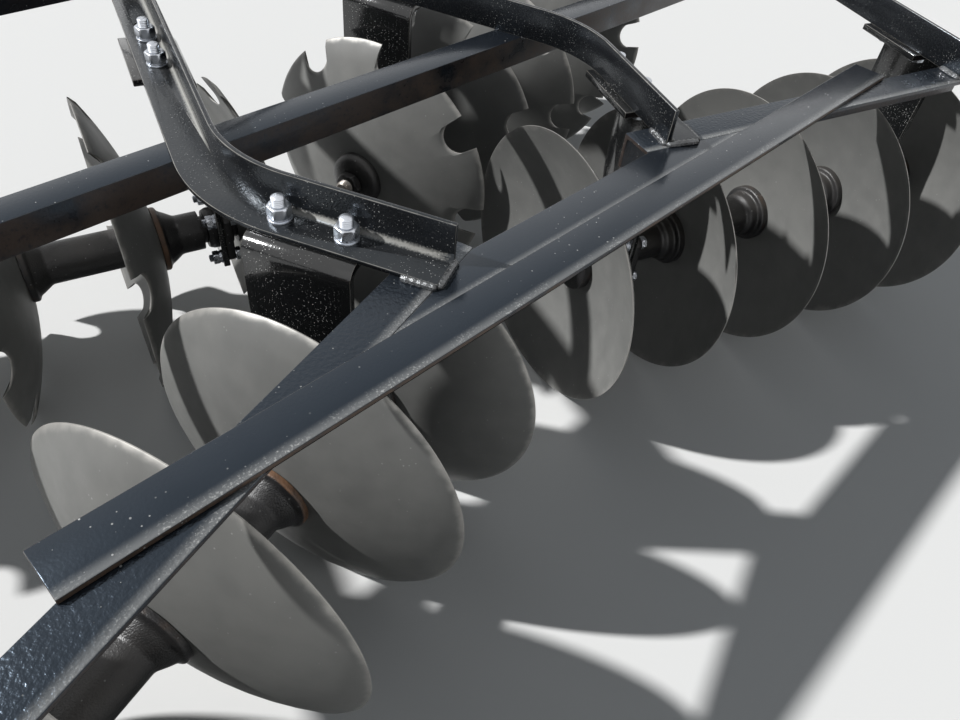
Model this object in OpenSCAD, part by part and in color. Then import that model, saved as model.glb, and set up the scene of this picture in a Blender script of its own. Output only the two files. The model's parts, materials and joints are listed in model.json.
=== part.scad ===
// Tandem disc harrow with four gangs of five discs on a frame of bent angle irons.
// Millimetres. X is across the machine, Y is the way it is pulled, Z is up from the ground.
// Places along Y are counted forward from the inmost rear discs.

/* [Discs] */
// diameter of every disc, 18 inches
disc_diameter = 457.2; // [406:1:508]
// sheet thickness of a disc
disc_thickness = 4.5; // [3:0.5:6]
// radius of the sphere that the hollow side follows
dish_radius = 465; // [400:5:600]
// distance between two discs on an axle
disc_spacing = 194; // [170:1:230]
// how many discs one axle carries
discs_per_gang = 5; // [4:1:6]
// how many round notches the rim of a front disc has
notch_count = 8; // [6:1:12]
// radius of one notch
notch_radius = 31; // [20:1:40]
// how far the middle of a notch lies inside the rim
notch_inset = 11; // [5:1:25]
// turn of the first notch, degrees
notch_turn = 12; // [0:1:45]
// turn from one disc of an axle to the next, degrees
disc_turn = 17; // [0:1:45]

/* [Gangs] */
// angle of the rear axles from straight across, degrees
rear_gang_angle = 17; // [8:0.5:24]
// angle of the front axles from straight across, degrees
front_gang_angle = 16; // [8:0.5:24]
// distance of the rim of the inmost rear disc from the middle
rear_inner_x = 169; // [120:1:220]
// distance of the rim of the inmost front disc from the middle
front_inner_x = 150; // [120:1:220]
// how far the inmost front disc stands ahead of the inmost rear disc
gang_distance = 410; // [400:1:520]
// diameter of the steel rod through a gang
axle_diameter = 28; // [25:1:35]
// how far the rod stands out past the bulging side of the last disc
axle_end = 50; // [44:1:60]
// diameter of a spool between two discs
spool_diameter = 62; // [54:1:76]
// diameter of a spool's end on the bulging side of a disc
collar_diameter = 104; // [90:1:120]
// diameter of a spool's end on the hollow side of a disc
flange_diameter = 100; // [90:1:120]
// thickness of the rim of a spool's end
spool_rim = 8; // [6:1:12]
// diameter of the washer and of the bumper at the ends of a gang
washer_diameter = 98; // [80:1:110]
// thickness of the washer at its middle
washer_height = 18; // [12:1:24]
// height of the domed bumper
bumper_height = 24; // [18:1:30]
// width of the nuts on the rod across their corners
nut_width = 49; // [44:1:56]
// height of the nuts on the rod
nut_height = 20; // [15:1:26]

/* [Bearings] */
// diameter of the journal that turns in a bearing
journal_diameter = 44; // [38:1:50]
// diameter of the hub of a bearing
hub_diameter = 68; // [60:1:80]
// length of the hub along the axle
hub_length = 40; // [34:1:50]
// side of the square flange of a bearing
bearing_side = 92; // [84:1:104]
// width of that flange across its rounded corners
bearing_corners = 116; // [106:1:130]
// thickness of that flange
bearing_flange = 12; // [8:1:16]
// distance between the bolts of that flange
bearing_bolts = 70; // [64:1:78]
// room beside a hub before the spool gets thick
shoulder_room = 7; // [6:1:12]

/* [Frame] */
// height of the underside of the bent angle irons above the ground
frame_height = 512; // [505:1:600]
// leg width of every angle iron
angle_leg = 50.8; // [40:0.1:64]
// thickness of every angle iron
angle_thickness = 6.4; // [5:0.1:10]
// lean of the rear legs of the bent angle irons, degrees outward going forward
rear_leg_lean = 25; // [18:0.5:30]
// lean of the front legs of the bent angle irons, degrees inward going forward
front_leg_lean = 19; // [10:0.5:25]
// radius of the bends, at the foot of the upstand
bend_radius = 180; // [120:5:220]
// distance of the rear end of an inner bent angle iron from the middle
inner_iron_x = 193; // [180:1:220]
// place of that end along Y
inner_iron_y = -134; // [-150:1:-120]
// place of the bend of an inner bent angle iron along Y
inner_bend_y = 109; // [80:1:130]
// distance of the rear end of an outer bent angle iron from the middle
outer_iron_x = 775; // [750:1:800]
// place of that end along Y
outer_iron_y = -310; // [-330:1:-290]
// place of the bend of an outer bent angle iron along Y
outer_bend_y = 49; // [20:1:80]
// place of the rear edge of the rear bar along Y
rear_bar_near = -231; // [-240:1:-225]
// half the length of the rear bar
rear_bar_half = 660; // [620:1:700]
// half the length of the short bar ahead of it, before it is cut to the gang bars
center_bar_half = 400; // [380:1:420]
// distance of the rear edge of a gang bar behind the axle
gang_bar_back = 125; // [110:1:140]
// where a gang bar begins, outward from the rim of the inmost disc
gang_bar_start = 30; // [10:1:60]
// where a gang bar ends
gang_bar_end = 745; // [700:1:780]
// side of the square tube under the bends
mid_tube_side = 44; // [38:1:50]
// wall of the square tubes
tube_wall = 5; // [3:0.5:8]
// place of the rear face of that tube along Y
mid_tube_near = 205; // [190:1:220]
// how far that tube reaches past the upstands of the outer irons
mid_tube_reach = 34; // [10:1:60]
// side of the square tube at the front
front_tube_side = 50; // [44:1:60]
// place of its rear face along Y
front_tube_near = 800; // [780:1:820]
// how far it reaches past the upstands of the outer irons
front_tube_reach = 75; // [60:1:90]

/* [Hangers] */
// thickness of the bent plates that carry the bearings
hanger_thickness = 10; // [8:1:14]
// width of these plates along the angle iron
hanger_width = 130; // [120:1:150]
// how far a hanger reaches behind the axle
hanger_back = 40; // [34:1:50]
// half the width of a hanger round its bearing, and its depth below the axle
hanger_foot = 48; // [46:1:56]
// height above the axle where a hanger gets its full width
hanger_waist = 110; // [90:5:130]
// length of the top of a hanger, from the middle of its upright part
hanger_reach = 75; // [65:1:90]
// distance of the upright part of a rear hanger outward from the upstand of its iron
rear_plate = 62.2; // [60:0.1:70]
// distance of the upright part of a front hanger inward from the upstand of its iron
front_plate = 13.2; // [10:0.1:20]
// diameter of the holes for the bolts
bolt_hole = 17; // [12:0.5:18]
// how far the bolts of a hanger stand from the middle of its upright part
bolt_reach = 38; // [34:1:44]
// how far the rear bolt stands behind the axle
bolt_back = 16; // [10:1:20]
// distance between the two bolts of a hanger
bolt_spread = 80; // [70:1:90]

/* [Hitch] */
// diameter of the lower hitch pins, category 1
lower_pin_diameter = 22; // [22:0.1:22.2]
// free length of a lower pin outside its plate
lower_pin_length = 71; // [66:1:80]
// diameter of the part of a lower pin inside its plate
pin_shank_diameter = 19; // [18:0.5:20]
// diameter of the heads of the lower pins
pin_head_diameter = 36; // [30:1:40]
// height of these heads
pin_head_height = 14; // [10:1:18]
// diameter of the cross hole in a lower pin
cross_hole = 11; // [8:0.5:12]
// distance of a cross hole from the end of its pin
cross_hole_inset = 13; // [11:1:16]
// distance between the shoulders of the lower pins
lower_pin_spread = 683; // [680:1:690]
// thickness of the plates that carry the lower pins
lug_thickness = 12; // [10:1:16]
// radius of the rounded end of these plates
lug_radius = 32; // [28:1:40]
// distance of the lower pins ahead of the front tube
lug_reach = 54; // [50:1:60]
// diameter of the upper hitch pin, category 1
top_pin_diameter = 19; // [19:0.1:19.2]
// how far the upper pin stands out past a mast bar
top_pin_end = 22; // [18:1:30]
// clear width between the mast bars at the upper pin
top_pin_gap = 52; // [50:1:60]
// height of the upper pin above the lower pins
mast_height = 460; // [455:1:490]
// width of the bars of the mast
mast_width = 75; // [65:1:90]
// thickness of the bars of the mast and of the braces
mast_bar = 12; // [10:1:14]
// distance of the feet of the mast from the middle
mast_foot_x = 200; // [180:1:220]
// height of the bend of a mast bar above the front tube
mast_knee = 338; // [320:1:350]
// place of the rear edge of the tie bar along Y
tie_near = 655; // [640:1:670]
// width of the tie bar
tie_width = 50; // [44:1:60]
// half the length of the tie bar
tie_half = 150; // [140:1:160]

/* [Hidden] */
// clear radial room between a pin or journal and its bore
running_fit = 0.05;
disc_radius = disc_diameter / 2;
dish_depth = dish_radius - sqrt(dish_radius * dish_radius - disc_radius * disc_radius);
gang_length = (discs_per_gang - 1) * disc_spacing;
axle_height = disc_radius;
axle_radius = axle_diameter / 2;
journal_radius = journal_diameter / 2;
spool_radius = spool_diameter / 2;
collar_radius = collar_diameter / 2;
flange_radius = flange_diameter / 2;
washer_radius = washer_diameter / 2;
hub_radius = hub_diameter / 2;
disc_outside = dish_radius + disc_thickness;
spool_length = disc_spacing - disc_thickness;
// how far a cutter or a trimmed end reaches past the face that it meets
over = 6;
// longer than any piece that a cutter goes through
beyond = 4 * disc_spacing * discs_per_gang;
rear_bar_front = rear_bar_near + angle_leg;
// lower edges of the downward legs of the two rear bars
rear_leg_foot = frame_height + angle_thickness - angle_leg;
center_leg_foot = frame_height - angle_leg;
center_leg_near = rear_bar_front + angle_leg - angle_thickness;
mast_y = front_tube_near + front_tube_side / 2;
knee_z = frame_height + mast_knee;
lower_pin_y = front_tube_near + front_tube_side + lug_reach;
lower_pin_z = frame_height - front_tube_side / 2;
top_pin_z = lower_pin_z + mast_height;
tie_top = frame_height + angle_leg + hanger_thickness;
// the front ends of the bent angle irons lie on the front tube
angle_front = front_tube_near + 0.84 * front_tube_side;
// flats along the bend of an angle iron
bend_steps = 32;
// directions across and along the legs of the bent angle irons, for the right side
rear_across = [cos(rear_leg_lean), -sin(rear_leg_lean)];
rear_along = [sin(rear_leg_lean), cos(rear_leg_lean)];
front_across = [cos(front_leg_lean), sin(front_leg_lean)];
front_along = [-sin(front_leg_lean), cos(front_leg_lean)];
// rear ends of these irons and the points where their two straight legs would meet
inner_rear = [inner_iron_x, inner_iron_y];
outer_rear = [outer_iron_x, outer_iron_y];
inner_corner = [inner_iron_x + (inner_bend_y - inner_iron_y) * tan(rear_leg_lean), inner_bend_y];
outer_corner = [outer_iron_x + (outer_bend_y - outer_iron_y) * tan(rear_leg_lean), outer_bend_y];
// turn of the hangers on an axle, so that they stand along the legs
rear_turn = rear_gang_angle - rear_leg_lean;
front_turn = front_leg_lean - front_gang_angle;
// where the bearings stand on an axle, outward from the rim of the inmost disc
rear_bearings = [for (end = [inner_rear, outer_rear])
    (rear_plate + (end - [rear_inner_x, 0]) * rear_across) / cos(rear_turn)];
front_bearings = [for (corner = [inner_corner, outer_corner])
    ((corner - [front_inner_x, gang_distance]) * front_across - front_plate) / cos(front_turn)];
// the square tubes end at these distances from the middle
mid_tube_half = outer_corner[0] + mid_tube_reach
    - (mid_tube_near + mid_tube_side / 2 - outer_bend_y) * tan(front_leg_lean);
front_tube_half = outer_corner[0] + front_tube_reach - (mast_y - outer_bend_y) * tan(front_leg_lean);
// the machine is moved along Y so that its outline is centred on the origin
rear_tip = -gang_length * sin(rear_gang_angle) - disc_radius * cos(rear_gang_angle);
front_tip = lower_pin_y + lug_radius;
y_shift = -(rear_tip + front_tip) / 2;
black = [0.06, 0.06, 0.07];
disc_grey = [0.16, 0.16, 0.17];
steel = [0.62, 0.63, 0.65];
$fn = 96;

// the two bolts of a hanger, and one more hole ahead of the inner front hangers, along the iron
hanger_bolts = [-bolt_back, bolt_spread - bolt_back];
spare_hole = hanger_width - hanger_back + 1.4 * bolt_hole;

module machine() {
    translate([0, y_shift, 0])
        children();
}

module on_side(side) {
    machine()
        if (side == "left")
            mirror([1, 0, 0])
                children();
        else
            children();
}

// local X runs outward on the axle, local Y forward, the origin is the rim of the inmost disc
module on_gang(row) {
    if (row == "rear")
        translate([rear_inner_x, 0, axle_height])
            rotate([0, 0, -rear_gang_angle])
                children();
    else
        translate([front_inner_x, gang_distance, axle_height])
            rotate([0, 0, front_gang_angle])
                children();
}

// local Z runs on the axle toward the bulging side of the discs
module on_axle(row) {
    on_gang(row)
        if (row == "rear")
            rotate([0, 90, 0])
                children();
        else
            translate([gang_length, 0, 0])
                rotate([0, -90, 0])
                    children();
}

// local origin on the axle at one bearing, X square to the leg of the angle iron, Y forward along it
module on_hanger(row, number) {
    on_gang(row)
        translate([row == "rear" ? rear_bearings[number] : front_bearings[number], 0, 0])
            rotate([0, 0, row == "rear" ? rear_turn : front_turn])
                children();
}

// turns a hanger's frame back so that X runs along the axle
module along_axle(row) {
    rotate([0, 0, row == "rear" ? -rear_turn : -front_turn])
        rotate([0, 90, 0])
            children();
}

// a dish cut from a hollow sphere, its rim in the plane Z = 0
module disc(notched) {
    difference() {
        intersection() {
            translate([0, 0, dish_depth - dish_radius])
                sphere(r = disc_outside, $fn = 180);
            translate([0, 0, -over])
                cylinder(r = disc_radius, h = dish_depth + disc_thickness + 2 * over);
        }
        translate([0, 0, dish_depth - dish_radius])
            sphere(r = dish_radius, $fn = 180);
        translate([0, 0, -over])
            cylinder(r = axle_radius + running_fit, h = dish_depth + disc_thickness + 2 * over);
        if (notched)
            for (k = [0 : notch_count - 1])
                rotate([0, 0, k * 360 / notch_count + notch_turn])
                    translate([disc_radius - notch_inset, 0, -over])
                        cylinder(r = notch_radius, h = dish_depth + disc_thickness + 2 * over, $fn = 48);
    }
}

module disc_row(row) {
    on_axle(row)
        for (k = [0 : discs_per_gang - 1])
            translate([0, 0, k * disc_spacing])
                rotate([0, 0, disc_turn * k])
                    disc(row == "front");
}

// the turned outline of a spool from the bulging side of one disc to the hollow side of the next
module spool_body(bearing) {
    rim_end = spool_length - 2 * spool_rim;
    rotate_extrude()
        difference() {
            polygon([
                [0, -over],
                [collar_radius, -over],
                [collar_radius, spool_rim],
                [spool_radius + spool_rim / 2, 2 * spool_rim],
                [spool_radius, 3 * spool_rim],
                [spool_radius, rim_end - 2.5 * spool_rim],
                [spool_radius + spool_rim, rim_end - 2 * spool_rim],
                [spool_radius + spool_rim, rim_end],
                [flange_radius, rim_end],
                [flange_radius, spool_length + over],
                [0, spool_length + over]
            ]);
            translate([-over, -2 * over])
                square([axle_radius + running_fit + over, spool_length + 4 * over]);
            if (bearing > 0)
                translate([journal_radius, bearing - hub_length / 2 - shoulder_room])
                    square([spool_radius, hub_length + 2 * shoulder_room]);
        }
}

module spool_row(row) {
    bearings = row == "rear" ? rear_bearings : [for (b = front_bearings) gang_length - b];
    on_axle(row)
        for (k = [0 : discs_per_gang - 2]) {
            start = k * disc_spacing + dish_depth + disc_thickness;
            inside = [for (b = bearings) if (b > start && b < start + spool_length) b - start];
            intersection() {
                difference() {
                    translate([0, 0, start])
                        spool_body(len(inside) > 0 ? inside[0] : 0);
                    translate([0, 0, start - disc_outside])
                        sphere(r = disc_outside, $fn = 180);
                }
                translate([0, 0, start + spool_length - dish_radius])
                    sphere(r = dish_radius, $fn = 180);
            }
        }
}

module axle_rod(row) {
    on_axle(row)
        translate([0, 0, dish_depth - axle_end - over])
            cylinder(r = axle_radius, h = gang_length + 2 * axle_end + over);
}

// heavy washer and nut in the hollow of the first disc, domed bumper and nut behind the last one
module cap_row(row) {
    room = 2 * (washer_height + nut_height);
    on_axle(row) {
        intersection() {
            difference() {
                translate([0, 0, dish_depth - washer_height]) {
                    cylinder(r = washer_radius, h = washer_height + 1);
                    translate([0, 0, -nut_height])
                        cylinder(d = nut_width, h = nut_height + 1, $fn = 6);
                }
                translate([0, 0, dish_depth - room])
                    cylinder(r = axle_radius + running_fit, h = 2 * room);
            }
            translate([0, 0, dish_depth - dish_radius])
                sphere(r = dish_radius, $fn = 180);
        }
        translate([0, 0, gang_length + dish_depth])
            difference() {
                union() {
                    rotate_extrude()
                        polygon([
                            [0, -over],
                            [washer_radius, -over],
                            [washer_radius, bumper_height / 3],
                            [washer_radius * 0.92, bumper_height * 0.63],
                            [washer_radius * 0.76, bumper_height * 0.84],
                            [washer_radius * 0.56, bumper_height],
                            [0, bumper_height]
                        ]);
                    cylinder(d = nut_width, h = bumper_height + nut_height, $fn = 6);
                }
                translate([0, 0, -2 * over])
                    cylinder(r = axle_radius + running_fit, h = 2 * room);
                translate([0, 0, -dish_radius])
                    sphere(r = disc_outside, $fn = 180);
            }
    }
}

// the four bolt holes of a bearing, through its flange and the hanger
module bearing_holes() {
    for (a = [-bearing_bolts / 2, bearing_bolts / 2], b = [-bearing_bolts / 2, bearing_bolts / 2])
        translate([0, a, b])
            rotate([0, 90, 0])
                cylinder(d = bolt_hole, h = 2 * hub_length, center = true);
}

// both bearings of one gang, a round hub on the axle with a square flange on the hanger
module bearing_pair(row) {
    facing = row == "rear" ? 1 : -1;
    for (number = [0, 1])
        on_hanger(row, number)
            difference() {
                union() {
                    along_axle(row)
                        cylinder(r = hub_radius, h = hub_length, center = true);
                    translate([facing * (hanger_thickness + bearing_flange) / 2, 0, 0])
                        intersection() {
                            cube([bearing_flange, bearing_side, bearing_side], center = true);
                            rotate([0, 90, 0])
                                cylinder(d = bearing_corners, h = 2 * bearing_flange, center = true);
                        }
                }
                along_axle(row)
                    cylinder(r = journal_radius + running_fit, h = 2 * hub_length, center = true);
                bearing_holes();
            }
}

// a plate bent over at the top, which hangs under an angle iron and holds one bearing
module hanger(row, number) {
    // the top runs inward over a rear gang and outward over a front gang
    facing = row == "rear" ? -1 : 1;
    top = frame_height - axle_height;
    bend = 2 * hanger_thickness;
    half = hanger_thickness / 2;
    front = hanger_width - hanger_back;
    flat = hanger_reach - bend + half;
    on_hanger(row, number)
        difference() {
            union() {
                rotate([90, 0, 90])
                    linear_extrude(height = hanger_thickness, center = true)
                        polygon([
                            [-hanger_back, top - bend],
                            [front, top - bend],
                            [front, hanger_waist],
                            [hanger_foot, -hanger_foot],
                            [-hanger_foot, -hanger_foot],
                            [-hanger_foot, hanger_waist / 2],
                            [-hanger_back, hanger_waist]
                        ]);
                scale([facing, 1, 1])
                    translate([bend - half, front, top - bend])
                        rotate([90, 0, 0])
                            rotate([0, 0, 90])
                                quarter_pipe(bend, bend - hanger_thickness, hanger_width);
                translate([facing > 0 ? bend - half : -hanger_reach, -hanger_back, top - hanger_thickness])
                    cube([flat, hanger_width, hanger_thickness]);
            }
            along_axle(row)
                cylinder(r = hub_radius + running_fit, h = 2 * hub_length, center = true);
            bearing_holes();
            for (v = hanger_bolts)
                translate([facing * bolt_reach, v, top - bend])
                    cylinder(d = bolt_hole, h = 2 * bend);
        }
}

// a quarter of a pipe, from the X axis to the Y axis
module quarter_pipe(outer, inner, length) {
    intersection() {
        difference() {
            cylinder(r = outer, h = length);
            translate([0, 0, -over])
                cylinder(r = inner, h = length + 2 * over);
        }
        cube([outer + over, outer + over, length]);
    }
}

// plan outline of a bent angle iron of the right side, at a distance outward from its upstand
function bent_edge(rear_end, corner, outward) =
    let (
        turn = rear_leg_lean + front_leg_lean,
        tangent = bend_radius * tan(turn / 2),
        center = corner - tangent * rear_along - bend_radius * rear_across,
        front_length = (angle_front - corner[1]) / cos(front_leg_lean) - tangent
    )
    concat(
        [rear_end + outward * rear_across],
        [for (k = [0 : bend_steps])
            let (a = turn * k / bend_steps - rear_leg_lean)
            center + (bend_radius + outward) * [cos(a), sin(a)]],
        [center + (bend_radius + outward) * front_across + front_length * front_along]
    );

// a strip along a bent angle iron, from its upstand's foot to a width
module bent_strip(rear_end, corner, width, height) {
    inside = bent_edge(rear_end, corner, 0);
    outside = bent_edge(rear_end, corner, width);
    linear_extrude(height = height)
        polygon(concat(inside, [for (k = [len(outside) - 1 : -1 : 0]) outside[k]]));
}

// a bent angle iron of the right side with its hanger bolt holes, flange outward and upstand inward
module bent_angle(rear_end, corner, number, spare_holes) {
    difference() {
        translate([0, 0, frame_height]) {
            bent_strip(rear_end, corner, angle_leg, angle_thickness);
            bent_strip(rear_end, corner, angle_thickness, angle_leg);
        }
        for (v = hanger_bolts)
            on_hanger("rear", number)
                translate([-bolt_reach, v, frame_height - axle_height - over])
                    cylinder(d = bolt_hole, h = angle_thickness + 2 * over);
        for (v = concat(hanger_bolts, spare_holes))
            on_hanger("front", number)
                translate([bolt_reach, v, frame_height - axle_height - over])
                    cylinder(d = bolt_hole, h = angle_thickness + 2 * over);
    }
}

// the triangle that closes the rear end of a bent angle iron
module end_gusset(rear_end) {
    translate([rear_end[0], rear_end[1], frame_height])
        rotate([0, 0, -rear_leg_lean])
            translate([0, angle_thickness, 0])
                rotate([90, 0, 0])
                    linear_extrude(height = angle_thickness)
                        polygon([
                            [angle_thickness, angle_thickness],
                            [angle_leg, angle_thickness],
                            [angle_thickness, angle_leg]
                        ]);
}

// angle bar of the right rear gang, flat on top with the leg down at its rear edge
module gang_bar() {
    on_gang("rear")
        translate([gang_bar_start, -gang_bar_back, frame_height - axle_height]) {
            translate([0, 0, -angle_thickness])
                cube([gang_bar_end - gang_bar_start, angle_leg, angle_thickness]);
            translate([0, 0, -angle_leg])
                cube([gang_bar_end - gang_bar_start, angle_thickness, angle_leg]);
        }
}

// everything from the top of both rear gang bars down, forward from their rear edges by a width
module gang_bar_room(width) {
    for (side = [0, 1])
        mirror([side, 0, 0])
            on_gang("rear")
                translate([-beyond / 2, -gang_bar_back, frame_height - axle_height - beyond])
                    cube([beyond, width, beyond]);
}

module square_tube(side, wall, half) {
    rotate([90, 0, 90])
        linear_extrude(height = 2 * half, center = true)
            difference() {
                square([side, side]);
                translate([wall, wall])
                    square([side - 2 * wall, side - 2 * wall]);
            }
}

// one bent bar of the mast, right side
module mast_bar_right() {
    run = mast_foot_x - top_pin_gap / 2;
    // sideways width of the leaning part
    step = mast_bar * sqrt(run * run + mast_knee * mast_knee) / mast_knee;
    outer_knee = (mast_foot_x + step - top_pin_gap / 2 - mast_bar) * mast_knee / run;
    difference() {
        intersection() {
            translate([0, mast_y + mast_width / 2, 0])
                rotate([90, 0, 0])
                    linear_extrude(height = mast_width)
                        polygon([
                            [mast_foot_x, frame_height],
                            [mast_foot_x + step, frame_height],
                            [top_pin_gap / 2 + mast_bar, frame_height + outer_knee],
                            [top_pin_gap / 2 + mast_bar, top_pin_z + mast_width],
                            [top_pin_gap / 2, top_pin_z + mast_width],
                            [top_pin_gap / 2, knee_z]
                        ]);
            // square below the upper pin and round about it
            union() {
                translate([0, mast_y - mast_width / 2, frame_height - over])
                    cube([beyond, mast_width, top_pin_z - frame_height + over]);
                translate([0, mast_y, top_pin_z])
                    rotate([0, 90, 0])
                        cylinder(d = mast_width, h = beyond);
            }
        }
        translate([0, mast_y, top_pin_z])
            rotate([0, 90, 0])
                cylinder(d = top_pin_diameter + 2 * running_fit, h = 2 * top_pin_gap);
    }
}

// a flat brace of the right side, from the tie bar up to the mast bar
module brace_right() {
    back = mast_y - mast_width / 2;
    translate([top_pin_gap / 2 + mast_bar, 0, 0])
        rotate([90, 0, 90])
            linear_extrude(height = mast_bar)
                polygon([
                    [tie_near, tie_top],
                    [tie_near + tie_width, tie_top],
                    [back - 1, knee_z + mast_bar],
                    [mast_y + mast_width / 3, knee_z + mast_bar],
                    [mast_y + mast_width / 3, top_pin_z - 2.5 * mast_bar],
                    [mast_y - mast_width / 4, top_pin_z - 2.5 * mast_bar]
                ]);
}

// the plate that carries a lower hitch pin, right side
module lug_right() {
    difference() {
        translate([lower_pin_spread / 2 - lug_thickness, 0, 0])
            rotate([90, 0, 90])
                linear_extrude(height = lug_thickness)
                    union() {
                        translate([front_tube_near + front_tube_side, lower_pin_z - lug_radius])
                            square([lug_reach, 2 * lug_radius]);
                        translate([lower_pin_y, lower_pin_z])
                            circle(r = lug_radius);
                    }
        translate([lower_pin_spread / 2 - lug_thickness - over, lower_pin_y, lower_pin_z])
            rotate([0, 90, 0])
                cylinder(d = pin_shank_diameter + 2 * running_fit, h = lug_thickness + 2 * over);
    }
}

// a lower hitch pin with its head inside the plate and a cross hole near its end
module pin_right() {
    translate([lower_pin_spread / 2, lower_pin_y, lower_pin_z])
        rotate([0, 90, 0])
            difference() {
                union() {
                    translate([0, 0, -lug_thickness - pin_head_height])
                        cylinder(d = pin_head_diameter, h = pin_head_height);
                    translate([0, 0, -lug_thickness - 1])
                        cylinder(d = pin_shank_diameter, h = lug_thickness + 2);
                    cylinder(d = lower_pin_diameter, h = lower_pin_length);
                }
                translate([0, 0, lower_pin_length - cross_hole_inset])
                    rotate([90, 0, 0])
                        cylinder(d = cross_hole, h = 2 * lower_pin_diameter, center = true, $fn = 32);
            }
}

// the upper hitch pin with its head on the left and a cross hole near its right end
module upper_pin() {
    reach = top_pin_gap / 2 + mast_bar;
    translate([0, mast_y, top_pin_z])
        rotate([0, 90, 0])
            difference() {
                union() {
                    translate([0, 0, -reach - mast_bar])
                        cylinder(d = 1.6 * top_pin_diameter, h = mast_bar);
                    translate([0, 0, -reach - 1])
                        cylinder(d = top_pin_diameter, h = 2 * reach + top_pin_end + 1);
                }
                translate([0, 0, reach + top_pin_end / 2])
                    rotate([90, 0, 0])
                        cylinder(d = top_pin_diameter / 2, h = 2 * top_pin_diameter, center = true, $fn = 32);
            }
}

module mid_tube() {
    color(black)
        machine()
            translate([0, mid_tube_near, frame_height - mid_tube_side])
                square_tube(mid_tube_side, tube_wall, mid_tube_half);
}

module front_tube() {
    color(black)
        machine()
            translate([0, front_tube_near, frame_height - front_tube_side])
                square_tube(front_tube_side, tube_wall, front_tube_half);
}

module rear_bar() {
    color(black)
        machine()
            difference() {
                union() {
                    translate([-rear_bar_half, rear_bar_near, frame_height])
                        cube([2 * rear_bar_half, angle_leg, angle_thickness]);
                    translate([-rear_bar_half, rear_bar_front - angle_thickness, rear_leg_foot])
                        cube([2 * rear_bar_half, angle_thickness, angle_leg]);
                }
                gang_bar_room(angle_leg);
            }
}

module rear_center_bar() {
    color(black)
        machine()
            difference() {
                union() {
                    translate([-center_bar_half, rear_bar_front, frame_height - angle_thickness])
                        cube([2 * center_bar_half, angle_leg, angle_thickness]);
                    translate([-center_bar_half, center_leg_near, center_leg_foot])
                        cube([2 * center_bar_half, angle_thickness, angle_leg]);
                }
                gang_bar_room(beyond);
            }
}

module rear_gang_bar_left() {
    color(black)
        on_side("left")
            gang_bar();
}

module rear_gang_bar_right() {
    color(black)
        on_side("right")
            gang_bar();
}

module inner_angle_left() {
    color(black)
        on_side("left")
            bent_angle(inner_rear, inner_corner, 0, [spare_hole]);
}

module outer_angle_left() {
    color(black)
        on_side("left")
            bent_angle(outer_rear, outer_corner, 1, []);
}

module inner_angle_right() {
    color(black)
        on_side("right")
            bent_angle(inner_rear, inner_corner, 0, [spare_hole]);
}

module outer_angle_right() {
    color(black)
        on_side("right")
            bent_angle(outer_rear, outer_corner, 1, []);
}

module end_gussets() {
    color(black)
        for (side = ["left", "right"], rear_end = [inner_rear, outer_rear])
            on_side(side)
                end_gusset(rear_end);
}

module hanger_rear_inner_left() {
    color(black)
        on_side("left")
            hanger("rear", 0);
}

module hanger_rear_inner_right() {
    color(black)
        on_side("right")
            hanger("rear", 0);
}

module hanger_rear_outer_left() {
    color(black)
        on_side("left")
            hanger("rear", 1);
}

module hanger_rear_outer_right() {
    color(black)
        on_side("right")
            hanger("rear", 1);
}

module hanger_front_inner_left() {
    color(black)
        on_side("left")
            hanger("front", 0);
}

module hanger_front_inner_right() {
    color(black)
        on_side("right")
            hanger("front", 0);
}

module hanger_front_outer_left() {
    color(black)
        on_side("left")
            hanger("front", 1);
}

module hanger_front_outer_right() {
    color(black)
        on_side("right")
            hanger("front", 1);
}

module bearings_rear_left() {
    color(disc_grey)
        on_side("left")
            bearing_pair("rear");
}

module bearings_rear_right() {
    color(disc_grey)
        on_side("right")
            bearing_pair("rear");
}

module bearings_front_left() {
    color(disc_grey)
        on_side("left")
            bearing_pair("front");
}

module bearings_front_right() {
    color(disc_grey)
        on_side("right")
            bearing_pair("front");
}

module mast_tie() {
    color(black)
        machine()
            translate([-tie_half, tie_near, frame_height + angle_leg])
                cube([2 * tie_half, tie_width, hanger_thickness]);
}

module mast_left() {
    color(black)
        on_side("left")
            mast_bar_right();
}

module mast_brace_left() {
    color(black)
        on_side("left")
            brace_right();
}

module hitch_lug_left() {
    color(black)
        on_side("left")
            lug_right();
}

module hitch_pin_left() {
    color(steel)
        on_side("left")
            pin_right();
}

module mast_right() {
    color(black)
        on_side("right")
            mast_bar_right();
}

module mast_brace_right() {
    color(black)
        on_side("right")
            brace_right();
}

module hitch_lug_right() {
    color(black)
        on_side("right")
            lug_right();
}

module hitch_pin_right() {
    color(steel)
        on_side("right")
            pin_right();
}

module top_pin() {
    color(steel)
        machine()
            upper_pin();
}

module discs_rear_left() {
    color(disc_grey)
        on_side("left")
            disc_row("rear");
}

module spools_rear_left() {
    color(black)
        on_side("left")
            spool_row("rear");
}

module axle_rear_left() {
    color(steel)
        on_side("left")
            axle_rod("rear");
}

module end_caps_rear_left() {
    color(black)
        on_side("left")
            cap_row("rear");
}

module discs_rear_right() {
    color(disc_grey)
        on_side("right")
            disc_row("rear");
}

module spools_rear_right() {
    color(black)
        on_side("right")
            spool_row("rear");
}

module axle_rear_right() {
    color(steel)
        on_side("right")
            axle_rod("rear");
}

module end_caps_rear_right() {
    color(black)
        on_side("right")
            cap_row("rear");
}

module discs_front_left() {
    color(disc_grey)
        on_side("left")
            disc_row("front");
}

module spools_front_left() {
    color(black)
        on_side("left")
            spool_row("front");
}

module axle_front_left() {
    color(steel)
        on_side("left")
            axle_rod("front");
}

module end_caps_front_left() {
    color(black)
        on_side("left")
            cap_row("front");
}

module discs_front_right() {
    color(disc_grey)
        on_side("right")
            disc_row("front");
}

module spools_front_right() {
    color(black)
        on_side("right")
            spool_row("front");
}

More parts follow.
